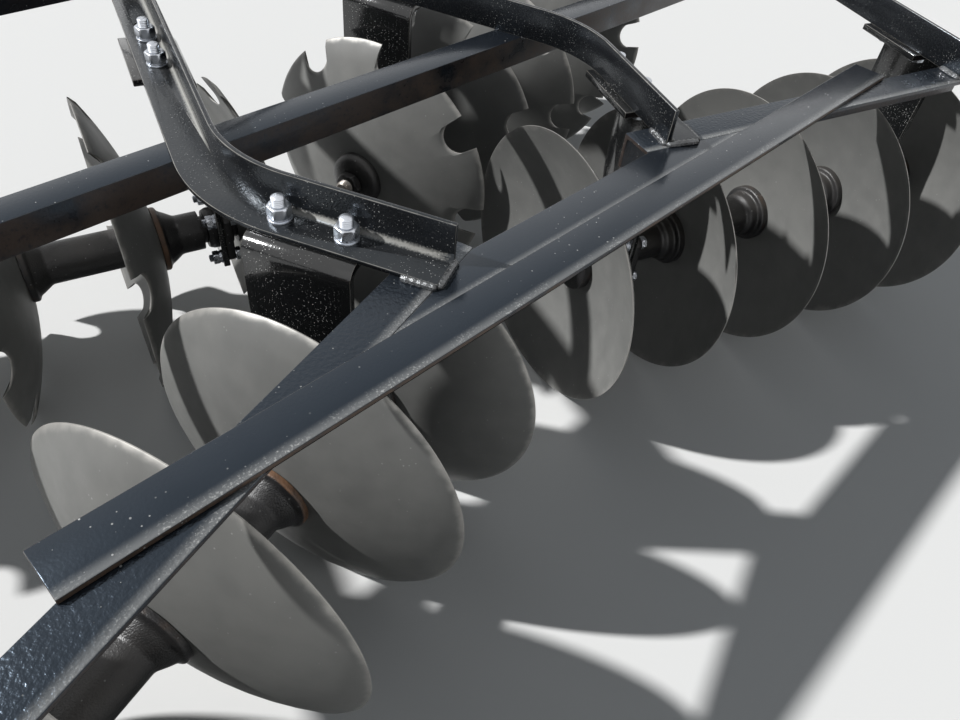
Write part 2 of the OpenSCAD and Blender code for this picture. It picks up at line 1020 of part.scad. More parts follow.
module axle_front_right() {
    color(steel)
        on_side("right")
            axle_rod("front");
}

module end_caps_front_right() {
    color(black)
        on_side("right")
            cap_row("front");
}

mid_tube();
front_tube();
rear_bar();
rear_center_bar();
rear_gang_bar_left();
rear_gang_bar_right();
inner_angle_left();
outer_angle_left();
inner_angle_right();
outer_angle_right();
end_gussets();
hanger_rear_inner_left();
hanger_rear_inner_right();
hanger_rear_outer_left();
hanger_rear_outer_right();
hanger_front_inner_left();
hanger_front_inner_right();
hanger_front_outer_left();
hanger_front_outer_right();
bearings_rear_left();
bearings_rear_right();
bearings_front_left();
bearings_front_right();
mast_tie();
mast_left();
mast_brace_left();
hitch_lug_left();
hitch_pin_left();
mast_right();
mast_brace_right();
hitch_lug_right();
hitch_pin_right();
top_pin();
discs_rear_left();
spools_rear_left();
axle_rear_left();
end_caps_rear_left();
discs_rear_right();
spools_rear_right();
axle_rear_right();
end_caps_rear_right();
discs_front_left();
spools_front_left();
axle_front_left();
end_caps_front_left();
discs_front_right();
spools_front_right();
axle_front_right();
end_caps_front_right();
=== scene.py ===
"""Looks of a mounted tandem disc harrow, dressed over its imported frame.

Lengths are in metres. X runs across the machine, Y the way it is pulled and Z up.
Each sub-assembly is a class that holds its sizes, builds its meshes and gives them their finish.
"""
import json
import logging
import math
from dataclasses import dataclass, replace
from enum import Enum
from functools import wraps
from typing import Callable, Sequence

import bmesh
import bpy
import numpy as np
from mathutils import Matrix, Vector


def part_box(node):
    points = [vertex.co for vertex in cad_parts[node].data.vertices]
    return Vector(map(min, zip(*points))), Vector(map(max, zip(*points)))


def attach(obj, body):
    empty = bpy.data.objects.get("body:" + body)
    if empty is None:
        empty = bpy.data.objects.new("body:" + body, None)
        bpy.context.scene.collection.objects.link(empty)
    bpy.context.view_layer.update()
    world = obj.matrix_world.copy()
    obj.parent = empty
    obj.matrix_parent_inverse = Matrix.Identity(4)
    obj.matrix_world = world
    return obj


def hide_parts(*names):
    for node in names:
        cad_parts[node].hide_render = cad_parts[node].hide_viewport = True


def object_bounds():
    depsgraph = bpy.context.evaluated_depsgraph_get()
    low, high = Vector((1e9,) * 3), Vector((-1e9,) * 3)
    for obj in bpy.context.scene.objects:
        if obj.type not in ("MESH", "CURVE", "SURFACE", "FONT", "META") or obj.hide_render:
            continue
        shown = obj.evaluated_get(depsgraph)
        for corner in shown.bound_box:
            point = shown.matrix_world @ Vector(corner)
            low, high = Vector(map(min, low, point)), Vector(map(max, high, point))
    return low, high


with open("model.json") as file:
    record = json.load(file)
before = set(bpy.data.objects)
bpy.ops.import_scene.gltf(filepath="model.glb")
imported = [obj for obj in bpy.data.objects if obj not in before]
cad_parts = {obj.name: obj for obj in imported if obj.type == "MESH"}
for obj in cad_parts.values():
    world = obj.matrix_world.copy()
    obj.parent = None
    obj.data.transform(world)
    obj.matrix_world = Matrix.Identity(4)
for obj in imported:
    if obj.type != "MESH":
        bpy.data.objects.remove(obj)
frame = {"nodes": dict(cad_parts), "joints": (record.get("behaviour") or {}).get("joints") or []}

LOG = logging.getLogger("disc_harrow")
CAD_BOX = [[float(value) for value in corner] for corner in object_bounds()]
UP = np.array([0.0, 0.0, 1.0])
ACROSS = np.array([1.0, 0.0, 0.0])
FORWARD = np.array([0.0, 1.0, 0.0])
Node = bpy.types.Node
Socket = bpy.types.NodeSocket
Line = tuple[np.ndarray, np.ndarray]  # two points: a bead's ends, or a box's corners
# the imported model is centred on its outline: its Y is the drawing's Y plus this
CENTRING = -0.245254
# points nearer to each other than this become one, in a shell and in the copy of a node
KNIT_GAP = 2e-6
MERGE_GAP = 1e-5
# faces that turn by less than the first are one face, and edges that turn by more than the second are eased
FLAT_ANGLE = math.radians(0.3)
CORNER_ANGLE = math.radians(35)


class Side(Enum):
    """A side of the machine, seen from behind."""

    LEFT = "left"
    RIGHT = "right"

    @property
    def sign(self) -> float:
        """1 on the right and -1 on the left."""
        return 1.0 if self is Side.RIGHT else -1.0


class Row(Enum):
    """One of the two rows of gangs."""

    REAR = "rear"
    FRONT = "front"


class Slot(Enum):
    """The record's material slots."""

    NOTCHED = "notched_disc"
    SMOOTH = "smooth_disc"
    SPOOL = "spool"
    AXLE = "axle"
    END_CAP = "end_cap"
    BEARING = "bearing"
    HANGER = "hanger"
    ZINC = "zinc_pin"
    FRAME = "frame_paint"


@dataclass(frozen=True)
class Place:
    """A local frame: its origin and three unit directions."""

    origin: np.ndarray
    along: np.ndarray
    first: np.ndarray
    second: np.ndarray

    def put(self, local: np.ndarray) -> np.ndarray:
        """Turns local (along, first, second) coordinates into the machine's X, Y and Z."""
        first, second = local[..., 1:2] * self.first, local[..., 2:] * self.second
        return self.origin + local[..., :1] * self.along + first + second

    def at(self, along: float = 0.0, first: float = 0.0, second: float = 0.0) -> "Place":
        """Returns the same frame moved to a local point."""
        return Place(self.put(np.array([along, first, second])), self.along, self.first, self.second)

    def turned_over(self) -> "Place":
        """Returns the frame with its long direction turned round."""
        return Place(self.origin, -self.along, self.first, self.second)


@dataclass
class Shell:
    """A closed surface as arrays.

    Points are (n, 3), quads (m, 4), and caps are end polygons. Shade is one value from 0 to 1 for each
    piece, and wear is 1 where the finish is rubbed through.
    """

    points: np.ndarray
    quads: np.ndarray
    caps: list[np.ndarray]
    shade: np.ndarray
    wear: np.ndarray

    def outward(self) -> "Shell":
        """Turns the faces round if they enclose a negative volume.

        The volume is the sum over all triangles of a . (b x c) / 6, with every face cut into a fan.
        """
        fans = [self.quads[:, [0, 1, 2]], self.quads[:, [0, 2, 3]]]
        fans += [np.stack([np.full(len(cap) - 2, cap[0]), cap[1:-1], cap[2:]], 1) for cap in self.caps]
        corner = (self.points - self.points.mean(0))[np.concatenate(fans)]
        volume = np.einsum("ij,ij->i", corner[:, 0], np.cross(corner[:, 1], corner[:, 2])).sum()
        if volume < 0:
            return replace(self, quads=self.quads[:, ::-1], caps=[cap[::-1] for cap in self.caps])
        return self

    @staticmethod
    def join(shells: Sequence["Shell"]) -> "Shell":
        """Puts several shells into one, each one kept closed."""
        starts = np.cumsum([0] + [len(shell.points) for shell in shells[:-1]])
        return Shell(
            np.concatenate([shell.points for shell in shells]),
            np.concatenate([shell.quads + start for shell, start in zip(shells, starts)]),
            [cap + start for shell, start in zip(shells, starts) for cap in shell.caps],
            np.concatenate([shell.shade for shell in shells]),
            np.concatenate([shell.wear for shell in shells]),
        )


def grid_shell(grid: np.ndarray, ring: bool, shade: float = 0.0, wear: np.ndarray | None = None) -> Shell:
    """Makes a closed shell from a grid of points.

    Point (u, v) of the grid is joined to (u + 1, v) and (u, v + 1). The v direction always runs round and
    closes. The u direction closes too if ring is true, and otherwise each end gets one flat cap.

    Args:
        grid: points as an array (rows, columns, 3).
        ring: whether the last row joins the first.
        shade: the piece's own shade, from 0 to 1.
        wear: wear of each row; without it there is none.

    Returns:
        The shell, with its faces outward.
    """
    rows, columns = grid.shape[:2]
    index = np.arange(rows * columns).reshape(rows, columns)
    lower = index if ring else index[:-1]
    upper = np.roll(index, -1, 0) if ring else index[1:]
    quads = np.stack([lower, np.roll(lower, -1, 1), np.roll(upper, -1, 1), upper], -1).reshape(-1, 4)
    caps = [] if ring else [index[0, ::-1], index[-1]]
    worn = np.repeat(np.zeros(rows) if wear is None else wear, columns)
    return Shell(grid.reshape(-1, 3), quads, caps, np.full(rows * columns, shade), worn).outward()


def eased(outline: np.ndarray, reach: float | np.ndarray, closed: bool, steps: int = 4) -> np.ndarray:
    """Rounds the corners of a flat outline.

    Each corner P is cut back to A and B by reach along its two sides, by at most 0.45 of a side, and bridged
    by the curve (1 - s)^2 A + 2 s (1 - s) P + s^2 B.

    Args:
        outline: corner points (n, 2).
        reach: how far a corner is cut back, for all of them or as a column with one value each.
        closed: whether the last point joins the first; the two ends of an open outline stay.
        steps: points on each corner, less one.

    Returns:
        The rounded outline.
    """
    before, after = np.roll(outline, 1, 0) - outline, np.roll(outline, -1, 0) - outline
    far_before, far_after = (np.linalg.norm(side, axis=1, keepdims=True) + 1e-12 for side in (before, after))
    start = outline + before / far_before * np.minimum(reach, 0.45 * far_before)
    end = outline + after / far_after * np.minimum(reach, 0.45 * far_after)
    s = np.linspace(0, 1, steps + 1)[None, :, None]
    curve = (1 - s) ** 2 * start[:, None] + 2 * s * (1 - s) * outline[:, None] + s ** 2 * end[:, None]
    if closed:
        return curve.reshape(-1, 2)
    return np.concatenate([outline[:1], curve[1:-1].reshape(-1, 2), outline[-1:]])


def turned(profile: np.ndarray, place: Place, ring: bool, around: int = 64, shade: float = 0.0,
           wear: np.ndarray | None = None) -> Shell:
    """A turned piece: the profile (along, radius) carried round the frame's long direction.

    Point (u, v) is (along(u), radius(u) cos v, radius(u) sin v).
    """
    turn, radius = full_turn(around), profile[:, 1:]
    local = np.stack(np.broadcast_arrays(profile[:, :1], radius * np.cos(turn), radius * np.sin(turn)), -1)
    return grid_shell(place.put(local), ring, shade, wear)


def plate(outline: np.ndarray, thickness: float, place: Place, ease: float, bore: float = 0.0) -> Shell:
    """A flat plate with eased edges, centred on the frame.

    The outline (first, second) is drawn in by ease (1 - sin a) along its normals while the height follows
    ease (1 - cos a), for a from 0 to 90 degrees at each face. A bore joins both faces as a ring.
    """
    side = np.roll(outline, -1, 0) - np.roll(outline, 1, 0)
    normal = np.stack([side[:, 1], -side[:, 0]], 1) / (np.linalg.norm(side, axis=1, keepdims=True) + 1e-12)
    area = np.sum(outline[:, 0] * np.roll(outline[:, 1], -1) - outline[:, 1] * np.roll(outline[:, 0], -1))
    normal *= np.sign(area)
    a = np.linspace(0, np.pi / 2, 4)
    inset = ease * np.concatenate([1 - np.sin(a), 1 - np.sin(a[::-1])])
    rise = ease * (1 - np.cos(a))
    height = np.concatenate([rise, thickness - rise[::-1]]) - thickness / 2
    flat = outline[None] - inset[:, None, None] * normal[None]
    rows = np.concatenate([np.broadcast_to(height[:, None, None], flat.shape[:2] + (1,)), flat], -1)
    if bore:
        hole = bore * unit(np.arctan2(outline[:, 1], outline[:, 0]))
        ends = [np.concatenate([np.full((len(hole), 1), z), hole], 1)[None] for z in (height[0], height[-1])]
        rows = np.concatenate([ends[0], rows, ends[1]])
    return grid_shell(place.put(rows), bool(bore))


def unit(turn: np.ndarray) -> np.ndarray:
    """Points (cos v, sin v) of the unit circle."""
    return np.stack([np.cos(turn), np.sin(turn)], -1)


def full_turn(count: int) -> np.ndarray:
    """Even angles over one turn."""
    return np.linspace(0, 2 * np.pi, count, endpoint=False)


def rounded_square(half: float, corner: float, count: int = 96, power: float = 14.0) -> np.ndarray:
    """Outline |x|^p + |y|^p = half^p, sampled evenly in angle and held inside a circle."""
    turn = full_turn(count)
    radius = half / (np.abs(np.cos(turn)) ** power + np.abs(np.sin(turn)) ** power) ** (1 / power)
    return np.minimum(radius, corner)[:, None] * unit(turn)


def ridges(count: int, pitch: float, root: float, crest: float) -> np.ndarray:
    """Thread ridges as profile points (along, radius): root and crest in turn, half a pitch apart."""
    half = np.arange(2 * count)
    return np.stack([half * (pitch / 2), np.where(half % 2, crest, root)], 1)


def bead(start: Sequence[float], end: Sequence[float], radius: float = 0.0035, pitch: float = 0.006) -> Shell:
    """A weld bead from one point to another.

    Its radius is radius (1 + 0.13 sin^2(pi s / pitch)) at the distance s, and it closes to a point at both
    ends by the root of a half circle.
    """
    start, end = np.asarray(start, float), np.asarray(end, float)
    length = float(np.linalg.norm(end - start))
    along = (end - start) / length
    first = np.cross(along, UP if abs(along[2]) < 0.9 else ACROSS)
    first /= np.linalg.norm(first)
    place = Place(start, along, first, np.cross(along, first))
    s = np.linspace(0, length, max(12, int(length / pitch * 6)))
    near = np.clip(np.minimum(s, length - s) / radius, 0, 1)
    ripple = 1 + 0.13 * np.sin(np.pi * s / pitch) ** 2
    return turned(np.stack([s, radius * ripple * np.sqrt(near * (2 - near))], 1), place, False, 10)


@dataclass(frozen=True)
class Band:
    """A strip along one straight edge of a bar, where a painted highlight and painted glitter lie on its
    paint.

    A point lies in it if 0 < x across_x + y across_y - start < width.
    """

    across_x: float
    across_y: float
    start: float
    width: float = 0.013


@dataclass(frozen=True)
class Finish:
    """One finish: a Principled BSDF whose colour, roughness and bump vary over the surface.

    The uniform values stand on the shader's own sockets, and the varying ones come from the shared effects.
    """

    name: str
    color: tuple[float, float, float]
    second: tuple[float, float, float]
    # colour of rubbed-through places, also of the painted highlight along eased edges
    bare_and_edge_highlight: tuple[float, float, float]
    dust: tuple[float, float, float]
    # pale specks; also the colour of the painted edge highlight and glitter
    speck_and_glint: tuple[float, float, float] = (0.62, 0.62, 0.6)
    # brown of upright faces: partly soil, partly a painted reflection of brown ground
    soil_and_reflection: tuple[float, float, float] = (0.12, 0.075, 0.045)
    # tint of the specular reflection; a blue tint here is a painted sky reflection
    sheen_tint: tuple[float, float, float] = (1.0, 1.0, 1.0)
    rough: tuple[float, float] = (0.25, 0.4)
    metal: float = 0.0
    bare_metal: float = 0.0
    coat: float = 0.0
    specular: float = 0.5
    mottle: float = 6.0
    film: float = 0.3
    # pale dust in filled inner corners, partly a painted highlight along the fillet
    root_dust_and_highlight: float = 0.0
    specks: float = 0.3
    crowd: float = 0.25
    speck_scale: float = 210.0
    edges: float = 0.3
    sides: float = 0.0
    peel: float = 260.0
    peel_height: float = 0.0004
    streaks: float = 0.0
    band: Band | None = None

    def made(self) -> bpy.types.Material:
        """Builds the material, once for each finish."""
        if self.name in bpy.data.materials:
            return bpy.data.materials[self.name]
        material = bpy.data.materials.new(self.name)
        material.use_nodes = True
        material.diffuse_color = (*self.color, 1)
        bench = Bench(material.node_tree)
        bench.clear()
        shader = bench.add("ShaderNodeBsdfPrincipled", {
            "Specular IOR Level": self.specular, "Specular Tint": (*self.sheen_tint, 1),
            "Coat Weight": self.coat, "Coat Roughness": 0.08})
        output = bench.add("ShaderNodeOutputMaterial")
        bench.link(shader.outputs["BSDF"], output.inputs["Surface"])
        mottle = bench.group(mottle_effect(), {"Scale": self.mottle}).outputs["Mask"]
        dust = bench.group(dust_and_root_highlight_effect(), {"Film": self.film, "Root Dust And Highlight": self.root_dust_and_highlight}).outputs["Mask"]
        # brown on upright faces: soil and a painted reflection of brown ground
        soil_and_reflection = bench.group(side_effect(), {"Amount": self.sides}).outputs["Mask"]
        specks = bench.group(speck_effect(), {
            "Amount": self.specks, "Crowd": self.crowd, "Scale": self.speck_scale}).outputs["Mask"]
        # rubbed-through wear, and along eased edges a lighter colour that is partly a painted highlight
        wear = bench.group(wear_and_edge_highlight_effect(), {"Edges": self.edges}).outputs["Mask"]
        grain = bench.group(grain_effect(), {"Scale": self.peel, "Streaks": self.streaks})
        layers = [(mottle, self.second), (wear, self.bare_and_edge_highlight), (dust, self.dust), (soil_and_reflection, self.soil_and_reflection),
                  (specks, self.speck_and_glint)]
        # a painted highlight and painted glitter along one straight edge
        if self.band:
            glint = bench.group(band_effect(), {
                "Across X": self.band.across_x, "Across Y": self.band.across_y, "Start": self.band.start,
                "Width": self.band.width})
            layers.append((glint.outputs["Mask"], self.speck_and_glint))
        color = self.color
        for mask, tint in layers:
            color = bench.mix(mask, color, tint)
        bench.link(color, shader.inputs["Base Color"])
        least, most = self.rough
        rough = bench.number("MULTIPLY_ADD", grain.outputs["Mask"], most - least, least)
        matte = bench.number("MAXIMUM", dust, soil_and_reflection)
        rough = bench.number("MULTIPLY_ADD", matte, 0.45, rough, clamp=True)
        bench.link(rough, shader.inputs["Roughness"])
        if self.metal != self.bare_metal:
            metal = bench.number("MULTIPLY_ADD", wear, self.bare_metal - self.metal, self.metal)
            clean = bench.number("SUBTRACT", 1.0, dust, clamp=True)
            bench.link(bench.number("MULTIPLY", metal, clean, clamp=True), shader.inputs["Metallic"])
        else:
            shader.inputs["Metallic"].default_value = self.metal
        bump = bench.add("ShaderNodeBump", {"Strength": 1.0, "Distance": self.peel_height})
        bench.link(grain.outputs["Height"], bump.inputs["Height"])
        bench.link(bump.outputs["Normal"], shader.inputs["Normal"])
        return material


class Bench:
    """Places nodes in one tree and links them."""

    def __init__(self, tree: bpy.types.NodeTree) -> None:
        """Takes the tree that the nodes go into."""
        self.tree = tree

    def clear(self) -> None:
        """Removes the nodes that a new tree starts with."""
        for node in list(self.tree.nodes):
            self.tree.nodes.remove(node)

    def add(self, kind: str, values: dict[str, object] | None = None, **settings: object) -> Node:
        """Adds a node, sets its attributes and the values of its named inputs."""
        node = self.tree.nodes.new(kind)
        for name, value in settings.items():
            setattr(node, name, value)
        for name, value in (values or {}).items():
            node.inputs[name].default_value = value
        return node

    def link(self, source: object, target: object) -> None:
        """Links an output to an input, or sets the input if the source is a plain value."""
        if isinstance(source, Socket):
            self.tree.links.new(source, target)
        elif isinstance(source, tuple):
            target.default_value = (*source, 1.0)
        else:
            target.default_value = source

    def mix(self, factor: object, first: object, second: object) -> Socket:
        """Mixes two colours and returns the mixed colour's socket."""
        node = self.add("ShaderNodeMix", data_type="RGBA")
        self.link(factor, node.inputs[0])
        self.link(first, node.inputs[6])
        self.link(second, node.inputs[7])
        return node.outputs[2]

    def number(self, operation: str, first: object, second: object = 0.0, third: object = 0.0,
               clamp: bool = False) -> Socket:
        """Works out one number from up to three and returns its socket."""
        node = self.add("ShaderNodeMath", operation=operation, use_clamp=clamp)
        for source, target in zip((first, second, third), node.inputs):
            self.link(source, target)
        return node.outputs[0]

    def product(self, first: object, *others: object) -> Socket:
        """Multiplies two or more numbers."""
        for other in others:
            first = self.number("MULTIPLY", first, other)
        return first

    def attribute(self, name: str) -> Socket:
        """Reads a number that the mesh holds for each point."""
        return self.add("ShaderNodeAttribute", attribute_name=name).outputs["Fac"]

    def fade(self, value: object, low: float, high: float) -> Socket:
        """Returns 0 below low, 1 above high and a smooth step between."""
        limits = {"From Min": low, "From Max": high}
        node = self.add("ShaderNodeMapRange", limits, interpolation_type="SMOOTHSTEP")
        self.link(value, node.inputs["Value"])
        return node.outputs["Result"]

    def texture(self, kind: str, scale: object, detail: float,
                stretch: tuple[float, float, float] = (1, 1, 1)) -> Node:
        """Adds a noise or cell texture on the object's own coordinates."""
        place = self.add("ShaderNodeTexCoord")
        mapping = self.add("ShaderNodeMapping", {"Scale": stretch})
        texture = self.add(kind, {"Detail": detail})
        self.link(scale, texture.inputs["Scale"])
        self.link(place.outputs["Object"], mapping.inputs["Vector"])
        self.link(mapping.outputs["Vector"], texture.inputs["Vector"])
        return texture

    def noise(self, scale: object, detail: float, stretch: tuple[float, float, float] = (1, 1, 1)) -> Socket:
        """Returns a cloudy value between 0 and 1."""
        return self.texture("ShaderNodeTexNoise", scale, detail, stretch).outputs[0]

    def upright(self) -> Socket:
        """Returns the height of the surface's normal, 1 on faces turned up."""
        normal = self.add("ShaderNodeSeparateXYZ")
        self.link(self.add("ShaderNodeNewGeometry").outputs["Normal"], normal.inputs["Vector"])
        return normal.outputs["Z"]

    def group(self, tree: bpy.types.NodeTree, values: dict[str, float]) -> Node:
        """Places a shared effect with its own values."""
        return self.add("ShaderNodeGroup", values, node_tree=tree)


Sockets = bpy.types.bpy_prop_collection
Fill = Callable[[Bench, Sockets], dict[str, Socket]]
Maker = Callable[[], bpy.types.NodeTree]


def shared(name: str, inputs: dict[str, float]) -> Callable[[Fill], Maker]:
    """Makes a shared shader group out of a function that fills its tree.

    Args:
        name: the group's name.
        inputs: its number inputs with their usual values.

    Returns:
        A decorator, whose function builds the group at the first call and returns its tree.
    """

    def wrap(fill: Fill) -> Maker:
        """Takes the function that turns the group's inputs into its named outputs."""

        @wraps(fill)
        def made() -> bpy.types.NodeTree:
            """Returns the group's tree."""
            if name in bpy.data.node_groups:
                return bpy.data.node_groups[name]
            tree = bpy.data.node_groups.new(name, "ShaderNodeTree")
            for label, value in inputs.items():
                socket = tree.interface.new_socket(label, in_out="INPUT", socket_type="NodeSocketFloat")
                socket.default_value = value
            bench = Bench(tree)
            results = fill(bench, bench.add("NodeGroupInput").outputs)
            for label in results:
                tree.interface.new_socket(label, in_out="OUTPUT", socket_type="NodeSocketFloat")
            output = bench.add("NodeGroupOutput")
            for label, socket in results.items():
                bench.link(socket, output.inputs[label])
            return tree

        return made

    return wrap


@shared("mottle", {"Scale": 6.0})
def mottle_effect(bench: Bench, given: Sockets) -> dict[str, Socket]:
    """Slow colour variation of a coat of paint: two noises and each piece's own shade."""
    wide = bench.noise(given["Scale"], 4.0)
    fine = bench.noise(bench.product(given["Scale"], 9.0), 5.0)
    both = bench.number("MULTIPLY_ADD", fine, 0.45, bench.product(wide, 0.55))
    both = bench.number("MULTIPLY_ADD", bench.attribute("shade"), 0.18, both)
    return {"Mask": bench.fade(both, 0.38, 0.78)}


@shared("dust", {"Film": 0.3, "Root Dust And Highlight": 0.0})
def dust_and_root_highlight_effect(bench: Bench, given: Sockets) -> dict[str, Socket]:
    """The larger of a dust film on faces turned up and of pale dust in filled inner corners, which is partly
    a painted highlight along the fillet.
    """
    upward = bench.fade(bench.upright(), -0.2, 0.95)
    cloud = bench.fade(bench.noise(9.0, 6.0), 0.35, 0.8)
    grains = bench.noise(420.0, 3.0)
    root_mark = bench.fade(bench.number("MULTIPLY_ADD", grains, 0.9, bench.attribute("root")), 0.5, 1.4)
    film = bench.product(cloud, upward, given["Film"])
    root_dust_and_highlight = bench.product(root_mark, given["Root Dust And Highlight"])
    return {"Mask": bench.number("MAXIMUM", film, root_dust_and_highlight)}


@shared("side_soil_and_reflection", {"Amount": 0.5})
def side_effect(bench: Bench, given: Sockets) -> dict[str, Socket]:
    """Brown on upright faces, broken up by a coarse and a fine noise: partly soil, partly a painted
    reflection of brown ground.
    """
    steep = bench.number("SUBTRACT", 1.0, bench.fade(bench.number("ABSOLUTE", bench.upright()), 0.1, 0.5))
    cloud = bench.fade(bench.noise(16.0, 6.0), 0.25, 0.55)
    fine = bench.fade(bench.noise(190.0, 3.0), 0.1, 0.5)
    return {"Mask": bench.product(cloud, fine, steep, given["Amount"])}


@shared("edge_glint", {"Across X": 0.0, "Across Y": 1.0, "Start": 0.0, "Width": 0.01})
def band_effect(bench: Bench, given: Sockets) -> dict[str, Socket]:
    """A painted highlight (haze) and painted glitter in a strip along a straight edge, for faces turned up.
    """
    place = bench.add("ShaderNodeSeparateXYZ")
    bench.link(bench.add("ShaderNodeTexCoord").outputs["Object"], place.inputs["Vector"])
    sideways = bench.product(place.outputs["X"], given["Across X"])
    across = bench.number("MULTIPLY_ADD", place.outputs["Y"], given["Across Y"], sideways)
    depth = bench.number("SUBTRACT", across, given["Start"])
    depth = bench.number("DIVIDE", depth, given["Width"])
    near = bench.number("SUBTRACT", 1.0, bench.fade(depth, 0.1, 1.0))
    grains = bench.fade(bench.noise(520.0, 2.0), 0.52, 0.7)
    patches = bench.fade(bench.noise(30.0, 4.0), 0.3, 0.7)
    upward = bench.fade(bench.upright(), 0.5, 0.9)
    highlight_haze = bench.product(near, upward, 0.24)
    broken = bench.product(grains, patches, upward, near)
    return {"Mask": bench.number("MULTIPLY_ADD", broken, 0.45, highlight_haze)}


@shared("specks", {"Amount": 0.3, "Crowd": 0.25, "Scale": 210.0})
def speck_effect(bench: Bench, given: Sockets) -> dict[str, Socket]:
    """Small pale specks in patches: some cells are picked, and each holds a dot of its own size."""
    cells = bench.texture("ShaderNodeTexVoronoi", given["Scale"], 0.0)
    chosen = bench.add("ShaderNodeSeparateXYZ")
    bench.link(cells.outputs["Color"], chosen.inputs["Vector"])
    size = bench.product(chosen.outputs["X"], 0.3)
    dot = bench.fade(bench.number("SUBTRACT", size, cells.outputs["Distance"]), 0.0, 0.06)
    patch = bench.fade(bench.noise(14.0, 3.0), 0.35, 0.7)
    rare = bench.number("LESS_THAN", chosen.outputs["Y"], given["Crowd"])
    specks = bench.product(dot, rare, patch)
    return {"Mask": bench.number("MULTIPLY", specks, given["Amount"], clamp=True)}


@shared("wear", {"Edges": 0.3})
def wear_and_edge_highlight_effect(bench: Bench, given: Sockets) -> dict[str, Socket]:
    """Finish rubbed through where the mesh says so, and a lighter colour along the eased edges that is partly
    wear and partly a painted highlight, both broken up by noise.
    """
    broken = bench.noise(55.0, 5.0)
    edge = bench.fade(bench.number("MULTIPLY_ADD", broken, 0.9, bench.attribute("edge")), 0.85, 1.45)
    rubbed = bench.fade(bench.number("MULTIPLY_ADD", broken, 0.7, bench.attribute("wear")), 0.85, 1.45)
    both = bench.number("MULTIPLY_ADD", edge, given["Edges"], rubbed, clamp=True)
    return {"Mask": both}


@shared("grain", {"Scale": 260.0, "Streaks": 0.0})
def grain_effect(bench: Bench, given: Sockets) -> dict[str, Socket]:
    """The fine unevenness of a sprayed coat, with straight rolling or grinding streaks."""
    peel = bench.noise(given["Scale"], 2.0)
    streak = bench.noise(70.0, 4.0, (0.12, 1.0, 1.0))
    height = bench.number("MULTIPLY_ADD", streak, given["Streaks"], peel)
    return {"Mask": bench.fade(bench.noise(22.0, 5.0), 0.3, 0.72), "Height": height}


# The blue in these enamels' colours and in their sheen_tint is a painted reflection of a blue sky.
GLOSS_BLACK = Finish("gloss_black_enamel", (0.009, 0.0115, 0.0155), (0.0105, 0.013, 0.017),
                     (0.13, 0.12, 0.11), (0.17, 0.165, 0.155), sheen_tint=(0.6, 0.78, 1.0),
                     rough=(0.2, 0.24), coat=0.08, specular=0.4, film=0.012, specks=0.6, crowd=0.14,
                     speck_scale=260.0, edges=0.8, sides=0.1, peel=330.0, peel_height=0.0002)
# Its pale dust in the roots is partly a painted highlight along the fillet.
IRON_BLACK = replace(GLOSS_BLACK, name="dusty_black_enamel", color=(0.008, 0.009, 0.0105),
                     second=(0.01, 0.0108, 0.0125), bare_and_edge_highlight=(0.24, 0.23, 0.21), dust=(0.4, 0.39, 0.36),
                     sheen_tint=(0.78, 0.89, 1.0), film=0.04, root_dust_and_highlight=0.7, crowd=0.7, speck_scale=430.0,
                     rough=(0.15, 0.24), edges=1.0, sides=0.0, peel_height=0.0003)
# more brown on upright faces: soil and a painted reflection of brown ground
SOILED_REFLECTING_BLACK = replace(GLOSS_BLACK, name="soiled_reflecting_black_enamel", sides=0.5)
HANGER_BLACK = Finish("speckled_gloss_black", (0.006, 0.0065, 0.007), (0.009, 0.0095, 0.01),
                      (0.16, 0.15, 0.13), (0.34, 0.31, 0.26), rough=(0.12, 0.2), coat=0.5, film=0.02,
                      specks=0.9, crowd=1.0, speck_scale=430.0, edges=0.7, peel=420.0, peel_height=0.0002)
# Its grey is lighter than satin black paint: mostly a painted sheen, with some dust haze.
DISC_PAINT = Finish("satin_black_disc", (0.135, 0.136, 0.131), (0.18, 0.18, 0.172), (0.36, 0.35, 0.33),
                    (0.21, 0.2, 0.175), rough=(0.44, 0.54), bare_metal=0.7, specular=0.35, film=0.16,
                    crowd=0.1, edges=0.0, mottle=3.0, peel=700.0, peel_height=0.00006, streaks=0.25)
CAST_PAINT = Finish("black_casting", (0.012, 0.012, 0.013), (0.024, 0.023, 0.023), (0.2, 0.105, 0.055),
                    (0.17, 0.145, 0.115), rough=(0.32, 0.5), film=0.2, specks=0.4, crowd=0.2, edges=0.5,
                    mottle=14.0, peel=480.0, peel_height=0.0006)
BARE_STEEL = Finish("threaded_steel", (0.32, 0.31, 0.3), (0.2, 0.17, 0.14), (0.25, 0.15, 0.09),
                    (0.17, 0.14, 0.11), rough=(0.3, 0.5), metal=0.9, bare_metal=0.4, film=0.1, specks=0.1,
                    edges=0.3, mottle=40.0, peel=900.0, peel_height=0.0001)
ZINC = Finish("bright_zinc", (0.62, 0.65, 0.7), (0.48, 0.5, 0.54), (0.4, 0.4, 0.4), (0.03, 0.03, 0.032),
              speck_and_glint=(0.03, 0.03, 0.032), rough=(0.2, 0.38), metal=1.0, bare_metal=1.0, film=0.2, specks=0.6,
              edges=0.1, mottle=60.0, peel=800.0, peel_height=0.00006)
# The beads' silvery grey is partly a painted reflection of sunlight on black-painted welds.
WELD = Finish("sprayed_weld", (0.14, 0.145, 0.15), (0.035, 0.036, 0.038), (0.3, 0.3, 0.3), (0.2, 0.18, 0.15),
              rough=(0.16, 0.34), metal=0.7, bare_metal=0.9, coat=0.3, film=0.05, specks=0.6, crowd=0.4,
              edges=0.8, mottle=60.0, peel=620.0, peel_height=0.0009)


def placed(name: str, data: bpy.types.ID) -> bpy.types.Object:
    """Links a new object with these data into the scene."""
    thing = bpy.data.objects.new(name, data)
    bpy.context.scene.collection.objects.link(thing)
    return thing


